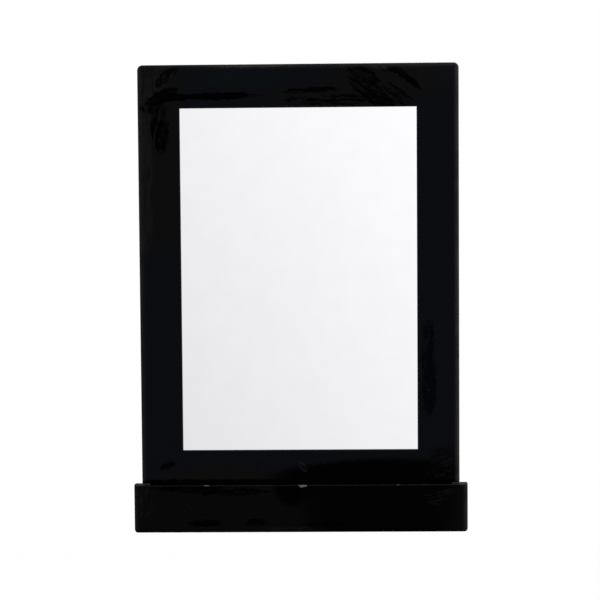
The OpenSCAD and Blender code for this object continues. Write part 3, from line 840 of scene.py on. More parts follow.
@dataclass(frozen=True)
class PlatedSteel(Finish):
    """Pressed steel, barrel-plated: a soft metal shine with fine rubbing marks."""

    colour: str = "#c9c6bf"
    shade: str = "#97948e"
    dull: Cut = Cut(0.3, 0.7, 0.22, 0.42)
    cloud_mm: float = 9.0          # across a cloud in the plating
    mark_mm: float = 0.8           # width of a rubbing mark
    mark_depth_mm: float = 0.01
    drawn_out: float = 0.08        # a mark's width as a share of its length
    ease_mm: float = 0.2           # rounds the edges in the shading

    def fill(self, on: Surface) -> None:
        """Cloud the plating and mark it with short scratches drawn out in Z.

        Args:
            on: the surface that is made.
        """
        on.shader.inputs["Metallic"].default_value = 1.0
        cloud = add_node(
            on.tree, "ShaderNodeTexNoise",
            {"Scale": per_metre(self.cloud_mm), "Detail": 5.0, "Roughness": 0.6},
            {"Vector": on.place},
        ).outputs["Fac"]
        on.shade(cloud, (self.colour, self.shade), self.dull)
        drawn = add_node(
            on.tree, "ShaderNodeMapping", {"Scale": (1.0, 1.0, self.drawn_out)},
            {"Vector": on.place},
        ).outputs[0]
        marks = add_node(
            on.tree, "ShaderNodeTexNoise",
            {"Scale": per_metre(self.mark_mm), "Detail": 2.0}, {"Vector": drawn},
        ).outputs["Fac"]
        on.bump(marks, self.mark_depth_mm, self.ease_mm)


@dataclass(frozen=True)
class Moulded(Finish):
    """A dull black solid with a fine even grain, as nylon gets from its mould.

    Sintered ferrite has the same look, greyer and coarser.
    """

    colour: str = "#1b1b1d"
    light: str = "#26262a"
    grain_mm: float = 0.5
    grain_depth_mm: float = 0.03
    ease_mm: float = 0.3           # rounds the edges in the shading
    dull: Cut = Cut(least=0.4, most=0.6)

    def fill(self, on: Surface) -> None:
        """Grain the surface and vary its shine.

        Args:
            on: the surface that is made.
        """
        grain = add_node(
            on.tree, "ShaderNodeTexNoise",
            {"Scale": per_metre(self.grain_mm), "Detail": 2.0}, {"Vector": on.place},
        ).outputs["Fac"]
        on.shade(grain, (self.colour, self.light), self.dull)
        on.bump(grain, self.grain_depth_mm, self.ease_mm)


@dataclass(frozen=True)
class Silicone(Finish):
    """Cast clear silicone rubber: milky and soft, with a faint haze."""

    colour: str = "#e6e8e8"
    haze: str = "#d2d6d6"
    haze_mm: float = 2.0           # across a cloud of the haze
    clear: float = 0.55            # how much of the light goes through
    ior: float = 1.41
    dull: Cut = Cut(least=0.2, most=0.45)

    def fill(self, on: Surface) -> None:
        """Let some light through a milky body.

        Args:
            on: the surface that is made.
        """
        on.shader.inputs["Transmission Weight"].default_value = self.clear
        on.shader.inputs["IOR"].default_value = self.ior
        cloud = add_node(
            on.tree, "ShaderNodeTexNoise",
            {"Scale": per_metre(self.haze_mm), "Detail": 3.0}, {"Vector": on.place},
        ).outputs["Fac"]
        on.shade(cloud, (self.colour, self.haze), self.dull)


GLOSS = GlossLacquer("black_gloss_lacquer")
# The drawer front's film is darker and neutral: it carries a darker painted reflection.
DRAWER_GLOSS = GlossLacquer("drawer_black_gloss_lacquer", film="#080808")
SATIN = SatinLacquer("black_satin_lacquer")
HARDBOARD = Hardboard("tempered_hardboard")
BEECH = Beech("turned_beech")
MIRROR = SilveredGlass("silvered_float_glass")
SHELF_GLASS = FloatGlass("clear_float_glass")
SHELF_EDGE = FloatGlass(
    "polished_glass_edge", tint="#8fc4b0", dusty="#7fb5a1", roughness=0.05
)
NICKEL = PlatedSteel("nickel_plated_steel")
# Zinc is bluer than nickel, and duller.
ZINC = PlatedSteel(
    "zinc_plated_steel", colour="#c6cacd", shade="#9a9fa3", dull=Cut(0.3, 0.7, 0.28, 0.5)
)
FERRITE = Moulded(
    "sintered_ferrite", colour="#3d3b39", light="#5a5855", grain_mm=1.0,
    dull=Cut(least=0.6, most=0.8),
)
NYLON = Moulded("moulded_black_nylon")
SILICONE = Silicone("clear_silicone_rubber")


# Meshes


def finish_mesh(mesh: bpy.types.Mesh, shape: bmesh.types.BMesh) -> bpy.types.Object:
    """Write a smoothly shaded mesh and give it an object at the origin.

    Edges where the surface turns quickly are marked sharp.

    Args:
        mesh: the mesh to write to, already named.
        shape: what to write. It is freed.

    Returns:
        The object, linked to the scene.
    """
    limit = math.radians(SHARP_DEG)
    for face in shape.faces:
        face.smooth = True
    for edge in shape.edges:
        edge.smooth = edge.is_manifold and edge.calc_face_angle(0.0) < limit
    shape.to_mesh(mesh)
    shape.free()
    # A copy of a CAD node brings the node's own normals along.
    old_normals = mesh.attributes.get("custom_normal")
    if old_normals is not None:
        mesh.attributes.remove(old_normals)
    made = bpy.data.objects.new(mesh.name, mesh)
    bpy.context.scene.collection.objects.link(made)
    weighted = made.modifiers.new("even_shading", "WEIGHTED_NORMAL")
    weighted.keep_sharp = True
    return made


def closed_object(
    name: str,
    points: np.ndarray,
    faces: list[list[int]],
    values: dict[str, np.ndarray] | None = None,
) -> bpy.types.Object:
    """Turn points and faces into a closed, smoothly shaded object at the origin.

    Args:
        name: name of the piece.
        points: its points in metres, one row each.
        faces: point numbers of each face.
        values: numbers to keep at the points, by attribute name.

    Returns:
        The object, linked to the scene.
    """
    mesh = bpy.data.meshes.new(name)
    mesh.from_pydata(points.tolist(), [], faces)
    for key, numbers in (values or {}).items():
        layer = mesh.attributes.new(key, "FLOAT", "POINT")
        layer.data.foreach_set("value", numbers.astype(np.float32).ravel())
    shape = bmesh.new()
    shape.from_mesh(mesh)
    bmesh.ops.remove_doubles(shape, verts=shape.verts, dist=SAME_PLACE)
    bmesh.ops.dissolve_degenerate(shape, edges=shape.edges, dist=SAME_PLACE)
    bmesh.ops.recalc_face_normals(shape, faces=shape.faces)
    return finish_mesh(mesh, shape)


def loft(
    name: str, rings: np.ndarray, values: dict[str, np.ndarray] | None = None
) -> bpy.types.Object:
    """Skin a row of closed outlines and cap both ends.

    Args:
        name: name of the piece.
        rings: outlines as (rings, points, 3), in metres, each point joined to its neighbours
            in its own outline and to its match in the next.
        values: numbers to keep at the points, as (rings, points), by attribute name.

    Returns:
        The closed object.
    """
    count, around = rings.shape[:2]
    index = np.arange(count * around).reshape(count, around)
    low, high = index[:-1], index[1:]
    sides = np.stack([low, np.roll(low, -1, 1), np.roll(high, -1, 1), high], -1)
    faces = sides.reshape(-1, 4).tolist() + [index[0].tolist(), index[-1].tolist()]
    return closed_object(name, rings.reshape(-1, 3), faces, values)


def turned(name: str, shapes: np.ndarray) -> bpy.types.Object:
    """Skin one or more turned shapes, whose first and last rows are each one point.

    Args:
        name: name of the piece.
        shapes: points as (shapes, rows, round, 3), in metres.

    Returns:
        The object, with every shape closed.
    """
    many, rows, around = shapes.shape[:3]
    index = np.arange(many * rows * around).reshape(many, rows, around)
    low, high = index[:, :-1], index[:, 1:]
    sides = np.stack([low, np.roll(low, -1, 2), np.roll(high, -1, 2), high], -1)
    return closed_object(name, shapes.reshape(-1, 3), sides.reshape(-1, 4).tolist())


def quarter(steps: int) -> np.ndarray:
    """Angles of a quarter turn, from 0 to half of pi."""
    return np.linspace(0.0, math.pi / 2, steps + 1)


def fallen(distance: np.ndarray | float, radius: float) -> np.ndarray:
    """How far a rounded edge has fallen back at a distance from the end that it rounds.

    It is the radius less the height of a circle there: the whole radius at the end itself,
    and nothing from one radius inwards.

    Args:
        distance: distance from the end, in the radius's units.
        radius: radius of the rounded edge.

    Returns:
        The fall, from 0 to the radius.
    """
    inside = np.clip(radius - np.asarray(distance, float), 0.0, radius)
    return radius - np.sqrt(np.maximum(radius**2 - inside**2, 0.0))


def eased_corner(
    corner: tuple[float, float],
    before: tuple[float, float],
    after: tuple[float, float],
    size: float,
) -> np.ndarray:
    """Ease a square corner of a section with a quarter circle.

    A point is the circle's middle, less the size times a share of each direction: the cosine
    of the turn for the one after the corner and its sine for the one before.

    Args:
        corner: the corner itself.
        before: unit direction from the corner back along the side that comes first.
        after: unit direction from the corner along the side that follows.
        size: radius of the quarter circle.

    Returns:
        Its points, as (ARRIS_STEPS + 1, 2).
    """
    turn = quarter(ARRIS_STEPS)[:, None]
    back, on = np.array(before, float), np.array(after, float)
    middle = np.array(corner, float) + size * (back + on)
    return middle - size * (on * np.cos(turn) + back * np.sin(turn))


def solids(node: str) -> list[tuple[Vector, Vector]]:
    """Lowest and highest corner of each separate solid in a CAD node, from left to right.

    Joined points pass their lowest number on, until all the points of a solid share one.

    Args:
        node: name of the CAD node.

    Returns:
        A pair of corners in metres for each solid.
    """
    shape = bmesh.new()
    shape.from_mesh(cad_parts[node].data)
    bmesh.ops.remove_doubles(shape, verts=shape.verts, dist=SAME_PLACE)
    shape.verts.index_update()
    points = np.array([v.co for v in shape.verts])
    ends = np.array([(e.verts[0].index, e.verts[1].index) for e in shape.edges])
    shape.free()
    label = np.arange(len(points))
    while True:
        lowest = label.copy()
        np.minimum.at(lowest, ends[:, 0], label[ends[:, 1]])
        np.minimum.at(lowest, ends[:, 1], label[ends[:, 0]])
        lowest = lowest[lowest]
        if np.array_equal(lowest, label):
            break
        label = lowest
    parts = [points[label == name] for name in np.unique(label)]
    boxes = [(Vector(part.min(0)), Vector(part.max(0))) for part in parts]
    return sorted(boxes, key=lambda box: tuple(round(v, 5) for v in box[0]))


def eased_copy(
    node: str, name: str, width_mm: float, joints: tuple[tuple[int, float], ...] = ()
) -> bpy.types.Object:
    """Copy a board and ease its long outer edges with a small round.

    Args:
        node: name of the CAD node.
        name: name of the new piece.
        width_mm: radius of the eased edges.
        joints: planes where it meets another board, as (axis, place in mm). Edges in them
            stay sharp, so that the joint stays tight.

    Returns:
        The eased board.
    """
    shape = bmesh.new()
    shape.from_mesh(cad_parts[node].data)
    bmesh.ops.remove_doubles(shape, verts=shape.verts, dist=SAME_PLACE)
    bmesh.ops.dissolve_limit(
        shape, angle_limit=math.radians(FLAT_DEG), verts=shape.verts, edges=shape.edges
    )
    outer = [
        edge for edge in shape.edges
        if edge.is_manifold and edge.is_convex
        and edge.calc_face_angle(0.0) > math.radians(CORNER_DEG)
        and edge.calc_length() > SHORT_MM * MM
        and not any(
            all(abs(v.co[axis] - place * MM) < IN_PLANE for v in edge.verts)
            for axis, place in joints
        )
    ]
    bmesh.ops.bevel(
        shape, geom=outer, offset=width_mm * MM, offset_type="OFFSET", segments=BOARD_STEPS,
        profile=0.5, affect="EDGES", clamp_overlap=True,
    )
    return finish_mesh(bpy.data.meshes.new(name), shape)


def dress(piece: bpy.types.Object, finish: Finish, slot: str, body: str, *nodes: str) -> None:
    """Give a new piece its finish and its place in the assembly.

    Args:
        piece: the new piece.
        finish: its finish.
        slot: the slot it shows in; not used.
        body: the body it rides on.
        nodes: the CAD nodes it stands for.
    """
    piece.data.materials.clear()
    piece.data.materials.append(finish.material())
    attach(piece, body)
    if nodes:
        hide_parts(*nodes)
    log.info("%s rides on %s in %s", piece.name, body, finish.name)


def coat(finish: Finish, *nodes: str) -> None:
    """Give CAD nodes that keep their shape a finish.

    Args:
        finish: the finish.
        nodes: names of the CAD nodes.
    """
    for node in nodes:
        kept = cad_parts[node]
        kept.data.materials.clear()
        kept.data.materials.append(finish.material())
        log.info("%s is finished in %s", node, finish.name)


# Fittings that repeat


@dataclass(frozen=True)
class Screw:
    """A cross-recessed wood screw. Sizes in mm."""

    head: Head
    shank_r: float
    head_r: float
    head_h: float = 0.0
    cross_depth: float = 0.42      # of the recess, in radii of the head
    arm_w: float = 0.13            # half width of its arms, in such radii
    arm_l: float = 0.6             # length of its arms, in such radii
    end_slope: float = 0.18        # length of the slope that ends an arm, in such radii
    wall_top: float = 1.6          # where an arm's wall meets the face, in its half widths
    dome_fall: float = 0.75        # what the square of a dome's height loses at the rim
    tip_l: float = 2.2             # length of the point, in radii of the shank
    thread_depth: float = 0.24     # in such radii
    pitch: float = 1.3
    turn_step_deg: float = 37.0    # how much further each next screw is turned
    round_steps: int = 48
    rows_per_pitch: int = 4

    def surface(self, length: float, turn_deg: float) -> np.ndarray:
        """Work out the screw's surface, with its seat at the origin and its point along -Z.

        The rows run from the middle of the head to the point. Over the head the height is a
        flat, or a dome that has sunk by half at the rim, less the depth of a cross with
        sloping walls. Over the shank the radius is a steady root plus a ridge that climbs
        one pitch each turn, and over the tip it narrows to nothing.

        Args:
            length: the length below the seat, in mm.
            turn_deg: how far the screw was turned when it was driven home.

        Returns:
            Points as (rows, round, 3), in mm.
        """
        angle = np.linspace(0.0, 2 * math.pi, self.round_steps, endpoint=False)
        # Ten rows cover the part of the head that the cross reaches, and five the rest.
        share = np.concatenate([np.linspace(0, 0.62, 10), np.linspace(0.72, 1.0, 5)])
        radius = share[:, None] * self.head_r
        x, y = radius * np.cos(angle), radius * np.sin(angle)
        across, along = np.minimum(abs(x), abs(y)), np.maximum(abs(x), abs(y))
        # The cross is at full depth where both shares are 1, and its walls slope to 0.
        arm = np.clip(self.wall_top - across / (self.arm_w * self.head_r), 0, 1)
        reach = np.clip((self.arm_l - along / self.head_r) / self.end_slope, 0, 1)
        dome = self.head_h * np.sqrt(np.clip(1 - self.dome_fall * share**2, 0, 1))[:, None]
        cross = self.cross_depth * self.head_r * arm * reach
        parts = [np.stack([x, y, dome - cross], -1)]
        start = self.head_r - self.shank_r
        if self.head is Head.PAN:
            start = 0.0
            parts.append(np.stack([x[-1:], y[-1:], 0 * x[-1:]], -1))
        rows = int((length - start) / self.pitch * self.rows_per_pitch)
        depth = np.linspace(start, length, rows)[:, None]
        ridge = 1 - abs(((depth / self.pitch - angle / (2 * math.pi)) % 1.0) * 2 - 1)
        taper = np.clip((length - depth) / (self.tip_l * self.shank_r), 0.0, 1.0)
        fade = np.clip((depth - start) / self.pitch, 0.0, 1.0)
        shank = self.shank_r * taper * (1 - self.thread_depth * fade * (1 - ridge))
        parts.append(
            np.stack([shank * np.cos(angle), shank * np.sin(angle), -depth + 0 * shank], -1)
        )
        turn = np.array(Matrix.Rotation(math.radians(turn_deg), 3, "Z"))
        return np.concatenate(parts) @ turn.T

    def drive(
        self, node: str, axis: tuple[float, float, float], body: str, outwards: bool = False
    ) -> None:
        """Put a screw where each solid of a CAD node is.

        Args:
            node: the CAD node of the plain screws.
            axis: the way the screws point.
            body: the body they ride on.
            outwards: whether the screws left of the middle point the other way along X.
        """
        shapes = []
        for count, (low, high) in enumerate(solids(node)):
            middle = (low + high) / 2
            way = Vector(axis)
            if outwards and middle.x < 0:
                way.negate()
            half = abs((high - low).dot(way)) / 2
            shape = self.surface(2 * half / MM - self.head_h, self.turn_step_deg * count)
            spin = np.array(way.to_track_quat("-Z", "Y").to_matrix())
            seat = middle + way * (self.head_h * MM - half)
            shapes.append(shape @ spin.T * MM + np.array(seat))
        dress(turned(f"{node}_driven", np.stack(shapes)), ZINC, "screw_steel", body, node)


def stop_dots(node: str, body: str) -> None:
    """Make the soft dots that stop the door or the drawer, as flattened domes.

    A dot's height falls with the fourth power of the distance from its middle, to an upright
    rim that is three tenths of its height.

    Args:
        node: the CAD node of the plain discs.
        body: the body they ride on.
    """
    angle = np.linspace(0.0, 2 * math.pi, DOT_STEPS, endpoint=False)
    inwards = np.linspace(1.0, 0.0, DOT_ROWS)
    rim = 0.3
    share = np.concatenate([[0.0, 1.0], inwards])[:, None]
    level = np.concatenate([[0.0, 0.0], rim + (1 - rim) * (1 - inwards**4)])[:, None]
    shapes = []
    for low, high in solids(node):
        middle, size = (low + high) / 2, high - low
        radius = share * size.x / 2
        shapes.append(
            np.stack(
                [
                    middle.x + radius * np.cos(angle),
                    low.y + level * size.y + 0 * angle,
                    middle.z + radius * np.sin(angle),
                ],
                -1,
            )
        )
    dress(turned(f"{node}_domed", np.stack(shapes)), SILICONE, "silicone", body, node)


# The door


@dataclass(frozen=True)
class FrameSection:
    """Cross-section of a stile or rail of the door, in mm.

    It is drawn in u, from the outer edge towards the mirror, and v, from the front face
    towards the back.
    """

    width: float
    depth: float
    edge_r: float                                  # of the rounded outer edge
    lip_t: float = 4.0                             # thickness of the lip before the mirror
    rebate_w: float = 10.0                         # width of the rebate behind the lip
    ease: float = 0.7                              # of the rear edge and the lip's edge
    sheen_reach: float = 10.0                        # how far in from the side the painted sheen runs
    side_places: tuple[float, float] = (6.0, 3.0)  # behind the rounding, where the painted sheen starts
    side_sheen: float = 0.35                         # painted sheen at the second of these places
    lip_thin: float = 0.12                         # arris value on the lip's edge, where a glint is painted

    def draw(
        self, rebated: bool, eased: bool, ball: float = 1.0, inset: float = 0.0,
        fall: float = 0.0,
    ) -> tuple[np.ndarray, np.ndarray, np.ndarray]:
        """Draw the section.

        Args:
            rebated: whether the rebate for the mirror is cut here.
            eased: whether the lip's front edge is eased here.
            ball: share of the edge's radius that is left. It shrinks to 0 over the end of a
                stile, as the slices of a ball do.
            inset: how far the outline is drawn in, at the eased end of a stile.
            fall: how far the front face has fallen back, near the bottom of the door.

        Returns:
            Points as (count, 2), and the painted sheen and the arris value at each.
        """
        r, back = self.edge_r, self.depth
        out = front = r * (1 - ball)
        rear = eased_corner((out, back), (1, 0), (0, -1), self.ease)
        side = np.array([[out, r + behind] for behind in self.side_places])
        turn = quarter(ROUND_STEPS)
        bend = r - r * ball * np.column_stack([np.cos(turn), np.sin(turn)])
        face = np.array([[self.sheen_reach, front]])
        lip = eased_corner((self.width, front), (-1, 0), (0, 1), self.ease if eased else 0.0)
        step = max(self.lip_t, front + self.ease)
        deep = self.width - self.rebate_w
        # Where the rebate isn't cut, the middle point moves out to the square corner.
        middle = [deep, step] if rebated else [self.width, back]
        inner = np.array([[self.width, step], middle, [deep, back]])
        points = np.vstack([rear, side, bend, face, lip, inner])
        points[:, 0] = np.maximum(points[:, 0], out + inset)
        points[:, 1] = np.clip(points[:, 1], max(front + inset, fall), back - inset)
        # Painted sheen on the rounded outer edge, fading towards the face.
        painted_sheen = np.zeros(len(points))
        first = len(rear) + len(side)
        painted_sheen[first - 1] = self.side_sheen
        painted_sheen[first : first + len(bend)] = np.clip(1 - bend[:, 0] / self.sheen_reach, 0, 1) ** 2
        thin = np.zeros(len(points))
        lip_start = first + len(bend) + 1
        thin[lip_start + 1 : lip_start + ARRIS_STEPS] = self.lip_thin * eased
        return points, painted_sheen, thin


@dataclass
class Door:
    """The mirror door: a lacquered frame, the glass, its backing and the beads behind it."""

    edge_r: float = 8.0        # mm, rounds the front over along all four edges
    rebate_w: float = 10.0     # mm, width of the rebate for the mirror
    top_sheen: float = 0.6       # share of the painted sheen along the top edge, whose rounding faces up to the light
    bottom_sheen: float = 0.03   # share of it along the bottom edge
    bead_ease: float = 1.2     # mm, of the beads' edges

    def build(self) -> None:
        """Make the frame and the beads, and finish what the CAD gives."""
        low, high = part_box("door_stile_left")[0] / MM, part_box("door_stile_right")[1] / MM
        opening = (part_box("door_rail_bottom")[1].z / MM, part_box("door_rail_top")[0].z / MM)
        for side in Side:
            self.stile(side, low, high, opening)
        self.rail("door_rail_top")
        self.rail("door_rail_bottom")
        for edge in ("left", "right", "top", "bottom"):
            bead = eased_copy(f"bead_{edge}", f"glazing_bead_{edge}", self.bead_ease)
            dress(bead, SATIN, "carcass_lacquer", "door", f"bead_{edge}")
        stop_dots("door_bumpers", "door")
        coat(MIRROR, "mirror_glass")
        coat(HARDBOARD, "mirror_backing_board")
        coat(ZINC, "bead_pins", "strike_plate")
        coat(BEECH, "door_dowels")

    def stile(
        self, side: Side, low: Vector, high: Vector, opening: tuple[float, float]
    ) -> None:
        """Carry a stile's section from the bottom of the door to its top.

        Over the first radius the front comes forward on a circle and meets the rounded side
        in a mitre. Over the last radius the section sinks and shrinks as the slices of a ball
        do, so the front, the side and the top are rounded into one another.

        Args:
            side: which stile.
            low: lowest corner of the door, in mm.
            high: highest corner of the door, in mm.
            opening: heights of the opening's lower and upper edges, in mm.
        """
        node = f"door_stile_{side.name.lower()}"
        size = (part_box(node)[1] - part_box(node)[0]) / MM
        section = FrameSection(size.x, size.y, self.edge_r, rebate_w=self.rebate_w)
        slices = [
            (
                low.z + z,
                section.draw(
                    False, False, inset=float(fallen(z, section.ease)),
                    fall=float(fallen(z, self.edge_r)),
                ),
            )
            for z in self.edge_r * (1 - np.cos(quarter(ROUND_STEPS)))
        ]
        below, above = opening[0] - self.rebate_w, opening[1] + self.rebate_w
        # Heights where the section changes: whether the rebate is cut and the lip is eased.
        plan = (
            (below, False, False), (below, True, False), (opening[0], True, False),
            (opening[0], True, True), (opening[1], True, True), (opening[1], True, False),
            (above, True, False), (above, False, False),
        )
        slices += [(z, section.draw(rebated, eased)) for z, rebated, eased in plan]
        slices += [
            (high.z - self.edge_r * (1 - math.sin(t)), section.draw(False, False, math.cos(t)))
            for t in quarter(ROUND_STEPS)
        ]
        z = np.array([height for height, _ in slices])[:, None]
        flat, painted_sheen, thin = (np.stack(part) for part in zip(*(drawn for _, drawn in slices)))
        points = np.stack(
            [side.value * (high.x - flat[..., 0]), low.y + flat[..., 1], z + 0 * painted_sheen], -1
        )
        # The top rounding faces up to the light, so it gets more painted sheen.
        over_top = self.top_sheen * np.clip(1 - (high.z - z) / section.sheen_reach, 0, 1) ** 2
        facing = flat[..., 1] < self.edge_r + IN_PLANE / MM
        painted_sheen = np.where(facing, np.maximum(painted_sheen, over_top), painted_sheen)
        piece = loft(f"lacquered_{node}", points * MM, {"painted_sheen": painted_sheen, "arris": thin})
        dress(piece, GLOSS, "door_lacquer", "door", node)

    def rail(self, node: str) -> None:
        """Carry a rail's section from one stile to the other.

        Args:
            node: the rail's CAD node.
        """
        low, high = (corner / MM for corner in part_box(node))
        top = node == "door_rail_top"
        section = FrameSection(
            high.z - low.z, high.y - low.y, self.edge_r, rebate_w=self.rebate_w
        )
        flat, painted_sheen, thin = section.draw(True, True)
        z = high.z - flat[:, 0] if top else low.z + flat[:, 0]
        points = np.stack(
            [np.column_stack([np.full(len(z), x), low.y + flat[:, 1], z]) for x in (low.x, high.x)]
        )
        # Painted sheen along the rail's rounded edge: more on the top rail.
        painted_sheen = painted_sheen * (self.top_sheen if top else self.bottom_sheen)
        values = {"painted_sheen": np.stack([painted_sheen, painted_sheen]), "arris": np.stack([thin, thin])}
        piece = loft(f"lacquered_{node}", points * MM, values)
        dress(piece, GLOSS, "door_lacquer", "door", node)


# The drawer


@dataclass
class Drawer:
    """The slim drawer whose front stands out past the door as a ledge."""

    end_r: float = 7.0         # mm, rounds the front over at its two ends
    corner_r: float = 5.0      # mm, of the front's two lower corners
    rear_ease: float = 0.6     # mm, of the front's long edges at the rear
    upper_ease: float = 1.0    # mm, of its upper front edge
    lower_ease: float = 0.8    # mm, of its lower front edge
    board_ease: float = 0.8    # mm, of the box's boards
    sheen_reach: float = 9.0     # mm, how far in from an end the painted sheen runs
    end_sheen: float = 0.75      # share of the painted sheen at the ends
    top_sheen: float = 0.22      # share of it along the upper front edge, as a painted highlight
    bottom_sheen: float = 0.12   # share of it along the lower front edge
    upper_thin: float = 0.2    # arris value on the upper front edge, where a glint is painted

    def build(self) -> None:
        """Make the front and the box, and finish what the CAD gives."""
        self.front()
        inner_front = [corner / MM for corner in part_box("drawer_inner_front")]
        ends = ((0, inner_front[0].x), (0, inner_front[1].x))
        front = (1, inner_front[0].y)
        boards = {
            "drawer_side_left": (front,),
            "drawer_side_right": (front,),
            "drawer_inner_front": (*ends, front),
            "drawer_back": ends,
        }
        for node, joints in boards.items():
            piece = eased_copy(node, f"eased_{node}", self.board_ease, joints)
            dress(piece, SATIN, "carcass_lacquer", "drawer", node)
        screw = Screw(Head.PAN, shank_r=2.0, head_r=4.2, head_h=2.0)
        screw.drive("drawer_front_screws", (0, -1, 0), "drawer")
        stop_dots("drawer_bumpers", "drawer")
        coat(HARDBOARD, "drawer_bottom")
        coat(BEECH, "drawer_dowels")

    def front(self) -> None:
        """Carry the drawer front's upright section from end to end.

        Near an end the front face falls back on a circle, and the lower edge rises on one.
        """
        low, high = (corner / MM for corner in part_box("drawer_front"))
        near = np.append(
            self.end_r * (1 - np.sin(quarter(ROUND_STEPS)[::-1])), self.sheen_reach
        )
        place = np.concatenate([low.x + near, high.x - near[::-1]])
        away = np.minimum(place - low.x, high.x - place)
        # Painted sheen on the rounded ends.
        sheen_here = self.end_sheen * np.clip(1 - away / self.sheen_reach, 0, 1) ** 2
        rings, sheens = [], []
        for x, y, z, end in zip(
            place, low.y + fallen(away, self.end_r), low.z + fallen(away, self.corner_r), sheen_here
        ):
            corners = [
                eased_corner((high.y, z), (-1, 0), (0, 1), self.rear_ease),
                eased_corner((high.y, high.z), (0, -1), (-1, 0), self.rear_ease),
                eased_corner((y, high.z), (1, 0), (0, -1), self.upper_ease),
                eased_corner((y, z), (0, 1), (1, 0), self.lower_ease),
            ]
            outline = np.vstack(corners)
            rings.append(np.column_stack([np.full(len(outline), x), outline]))
            # A painted highlight along the upper front edge, and painted sheen along the lower one.
            lower = np.full(ARRIS_STEPS + 1, max(end, self.bottom_sheen))
            upper = np.array([0, *[max(end, self.top_sheen)] * (ARRIS_STEPS - 1), end])
            lower[[0, -1]] = end, 0
            sheens.append(np.concatenate([0 * upper, 0 * upper, upper, lower]))
        thin = np.zeros((len(place), 4, ARRIS_STEPS + 1))
        thin[:, 2, 1:-1] = self.upper_thin
        piece = loft(
            "lacquered_drawer_front", np.stack(rings) * MM,
            {"painted_sheen": np.stack(sheens), "arris": thin.reshape(len(place), -1)},
        )
        dress(piece, DRAWER_GLOSS, "door_lacquer", "drawer", "drawer_front")


# The carcass and what is fixed to it


@dataclass
class Carcass:
    """The dowelled box on the wall, with its back, its glass shelves and its fittings."""

    ease: float = 0.8            # mm, of the boards' edges
    glass_ease: float = 0.8      # mm, of the ground edges of the shelves
    glass_corner_r: float = 2.0  # mm, of the shelves' corners
    ground_below: float = 0.95   # a face whose normal rises less than this is ground

    def build(self) -> None:
        """Ease the boards, make the shelves and finish the fittings."""
        floor = [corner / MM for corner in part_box("cupboard_floor")]
        ends = ((0, floor[0].x), (0, floor[1].x))
        boards = {
            "side_panel_left": (), "side_panel_right": (),
            "top_panel": ends, "base_panel": ends, "cupboard_floor": ends,
            "hanging_rail": ends, "steadying_rail": ends,
            "drawer_stop_rail": ((2, floor[0].z),),
        }
        for node, joints in boards.items():
            piece = eased_copy(node, f"eased_{node}", self.ease, joints)
            dress(piece, SATIN, "carcass_lacquer", "cabinet", node)
        for level in ("lower", "upper"):
            self.shelf(f"glass_shelf_{level}")
        coat(HARDBOARD, "back_panel")
        coat(BEECH, "carcass_dowels")
        coat(ZINC, "shelf_pins", "catch_pole_plates")
        coat(NYLON, "drawer_runner_left", "drawer_runner_right", "catch_housing")
        coat(FERRITE, "catch_magnet")

    def shelf(self, node: str) -> None:
        """Make a glass shelf with rounded, polished edges.

        Its rings are the shelf's outline with round corners, drawn in at the lower and the
        upper face on a quarter circle.

        Args:
            node: the shelf's CAD node.
        """
        low, high = (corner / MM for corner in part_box(node))
        e, r = self.glass_ease, self.glass_corner_r
        edge = np.vstack([
            eased_corner((0, low.z), (1, 0), (0, 1), e),
            eased_corner((0, high.z), (0, -1), (1, 0), e),
        ])
        turn = np.concatenate([quarter(CORNER_STEPS) + k * math.pi / 2 for k in range(4)])
        sign_x = np.repeat([1, -1, -1, 1], CORNER_STEPS + 1)
        sign_y = np.repeat([1, 1, -1, -1], CORNER_STEPS + 1)
        middle, half = (low + high) / 2, (high - low) / 2
        rings = np.stack([
            np.column_stack([
                middle.x + sign_x * (half.x - r) + (r - inset) * np.cos(turn),
                middle.y + sign_y * (half.y - r) + (r - inset) * np.sin(turn),
                np.full(len(turn), z),
            ])
            for inset, z in edge
        ])
        piece = loft(f"polished_{node}", rings * MM)
        dress(piece, SHELF_GLASS, "shelf_glass", "cabinet", node)
        piece.data.materials.append(SHELF_EDGE.material())
        ground = [abs(face.normal.z) < self.ground_below for face in piece.data.polygons]
        piece.data.polygons.foreach_set("material_index", np.array(ground, np.int32))


@dataclass
class Fittings:
    """The hinges and the small screws."""

    screw: Screw = Screw(Head.COUNTERSUNK, shank_r=1.5, head_r=3.1)

    def build(self) -> None:
        """Finish the hinges and drive the screws."""
        for level in ("upper", "lower"):
            coat(
                NICKEL, f"hinge_{level}_body_leaf", f"hinge_{level}_door_leaf",
                f"hinge_{level}_pin",
            )
        self.screw.drive("hinge_body_screws", (1, 0, 0), "cabinet")
        self.screw.drive("hinge_door_screws", (0, -1, 0), "door")
        self.screw.drive("catch_screws", (1, 0, 0), "cabinet")
        self.screw.drive("strike_plate_screws", (0, -1, 0), "door")
        self.screw.drive("runner_screws", (1, 0, 0), "cabinet", outwards=True)
        self.screw.drive("stop_rail_screws", (0, 0, 1), "cabinet")


# The studio


@dataclass(frozen=True)
class SoftBox:
    """A soft light that faces the cabinet, in metres."""

    name: str
    place: tuple[float, float, float]
    size: tuple[float, float]          # width and height
    power: float                       # watts


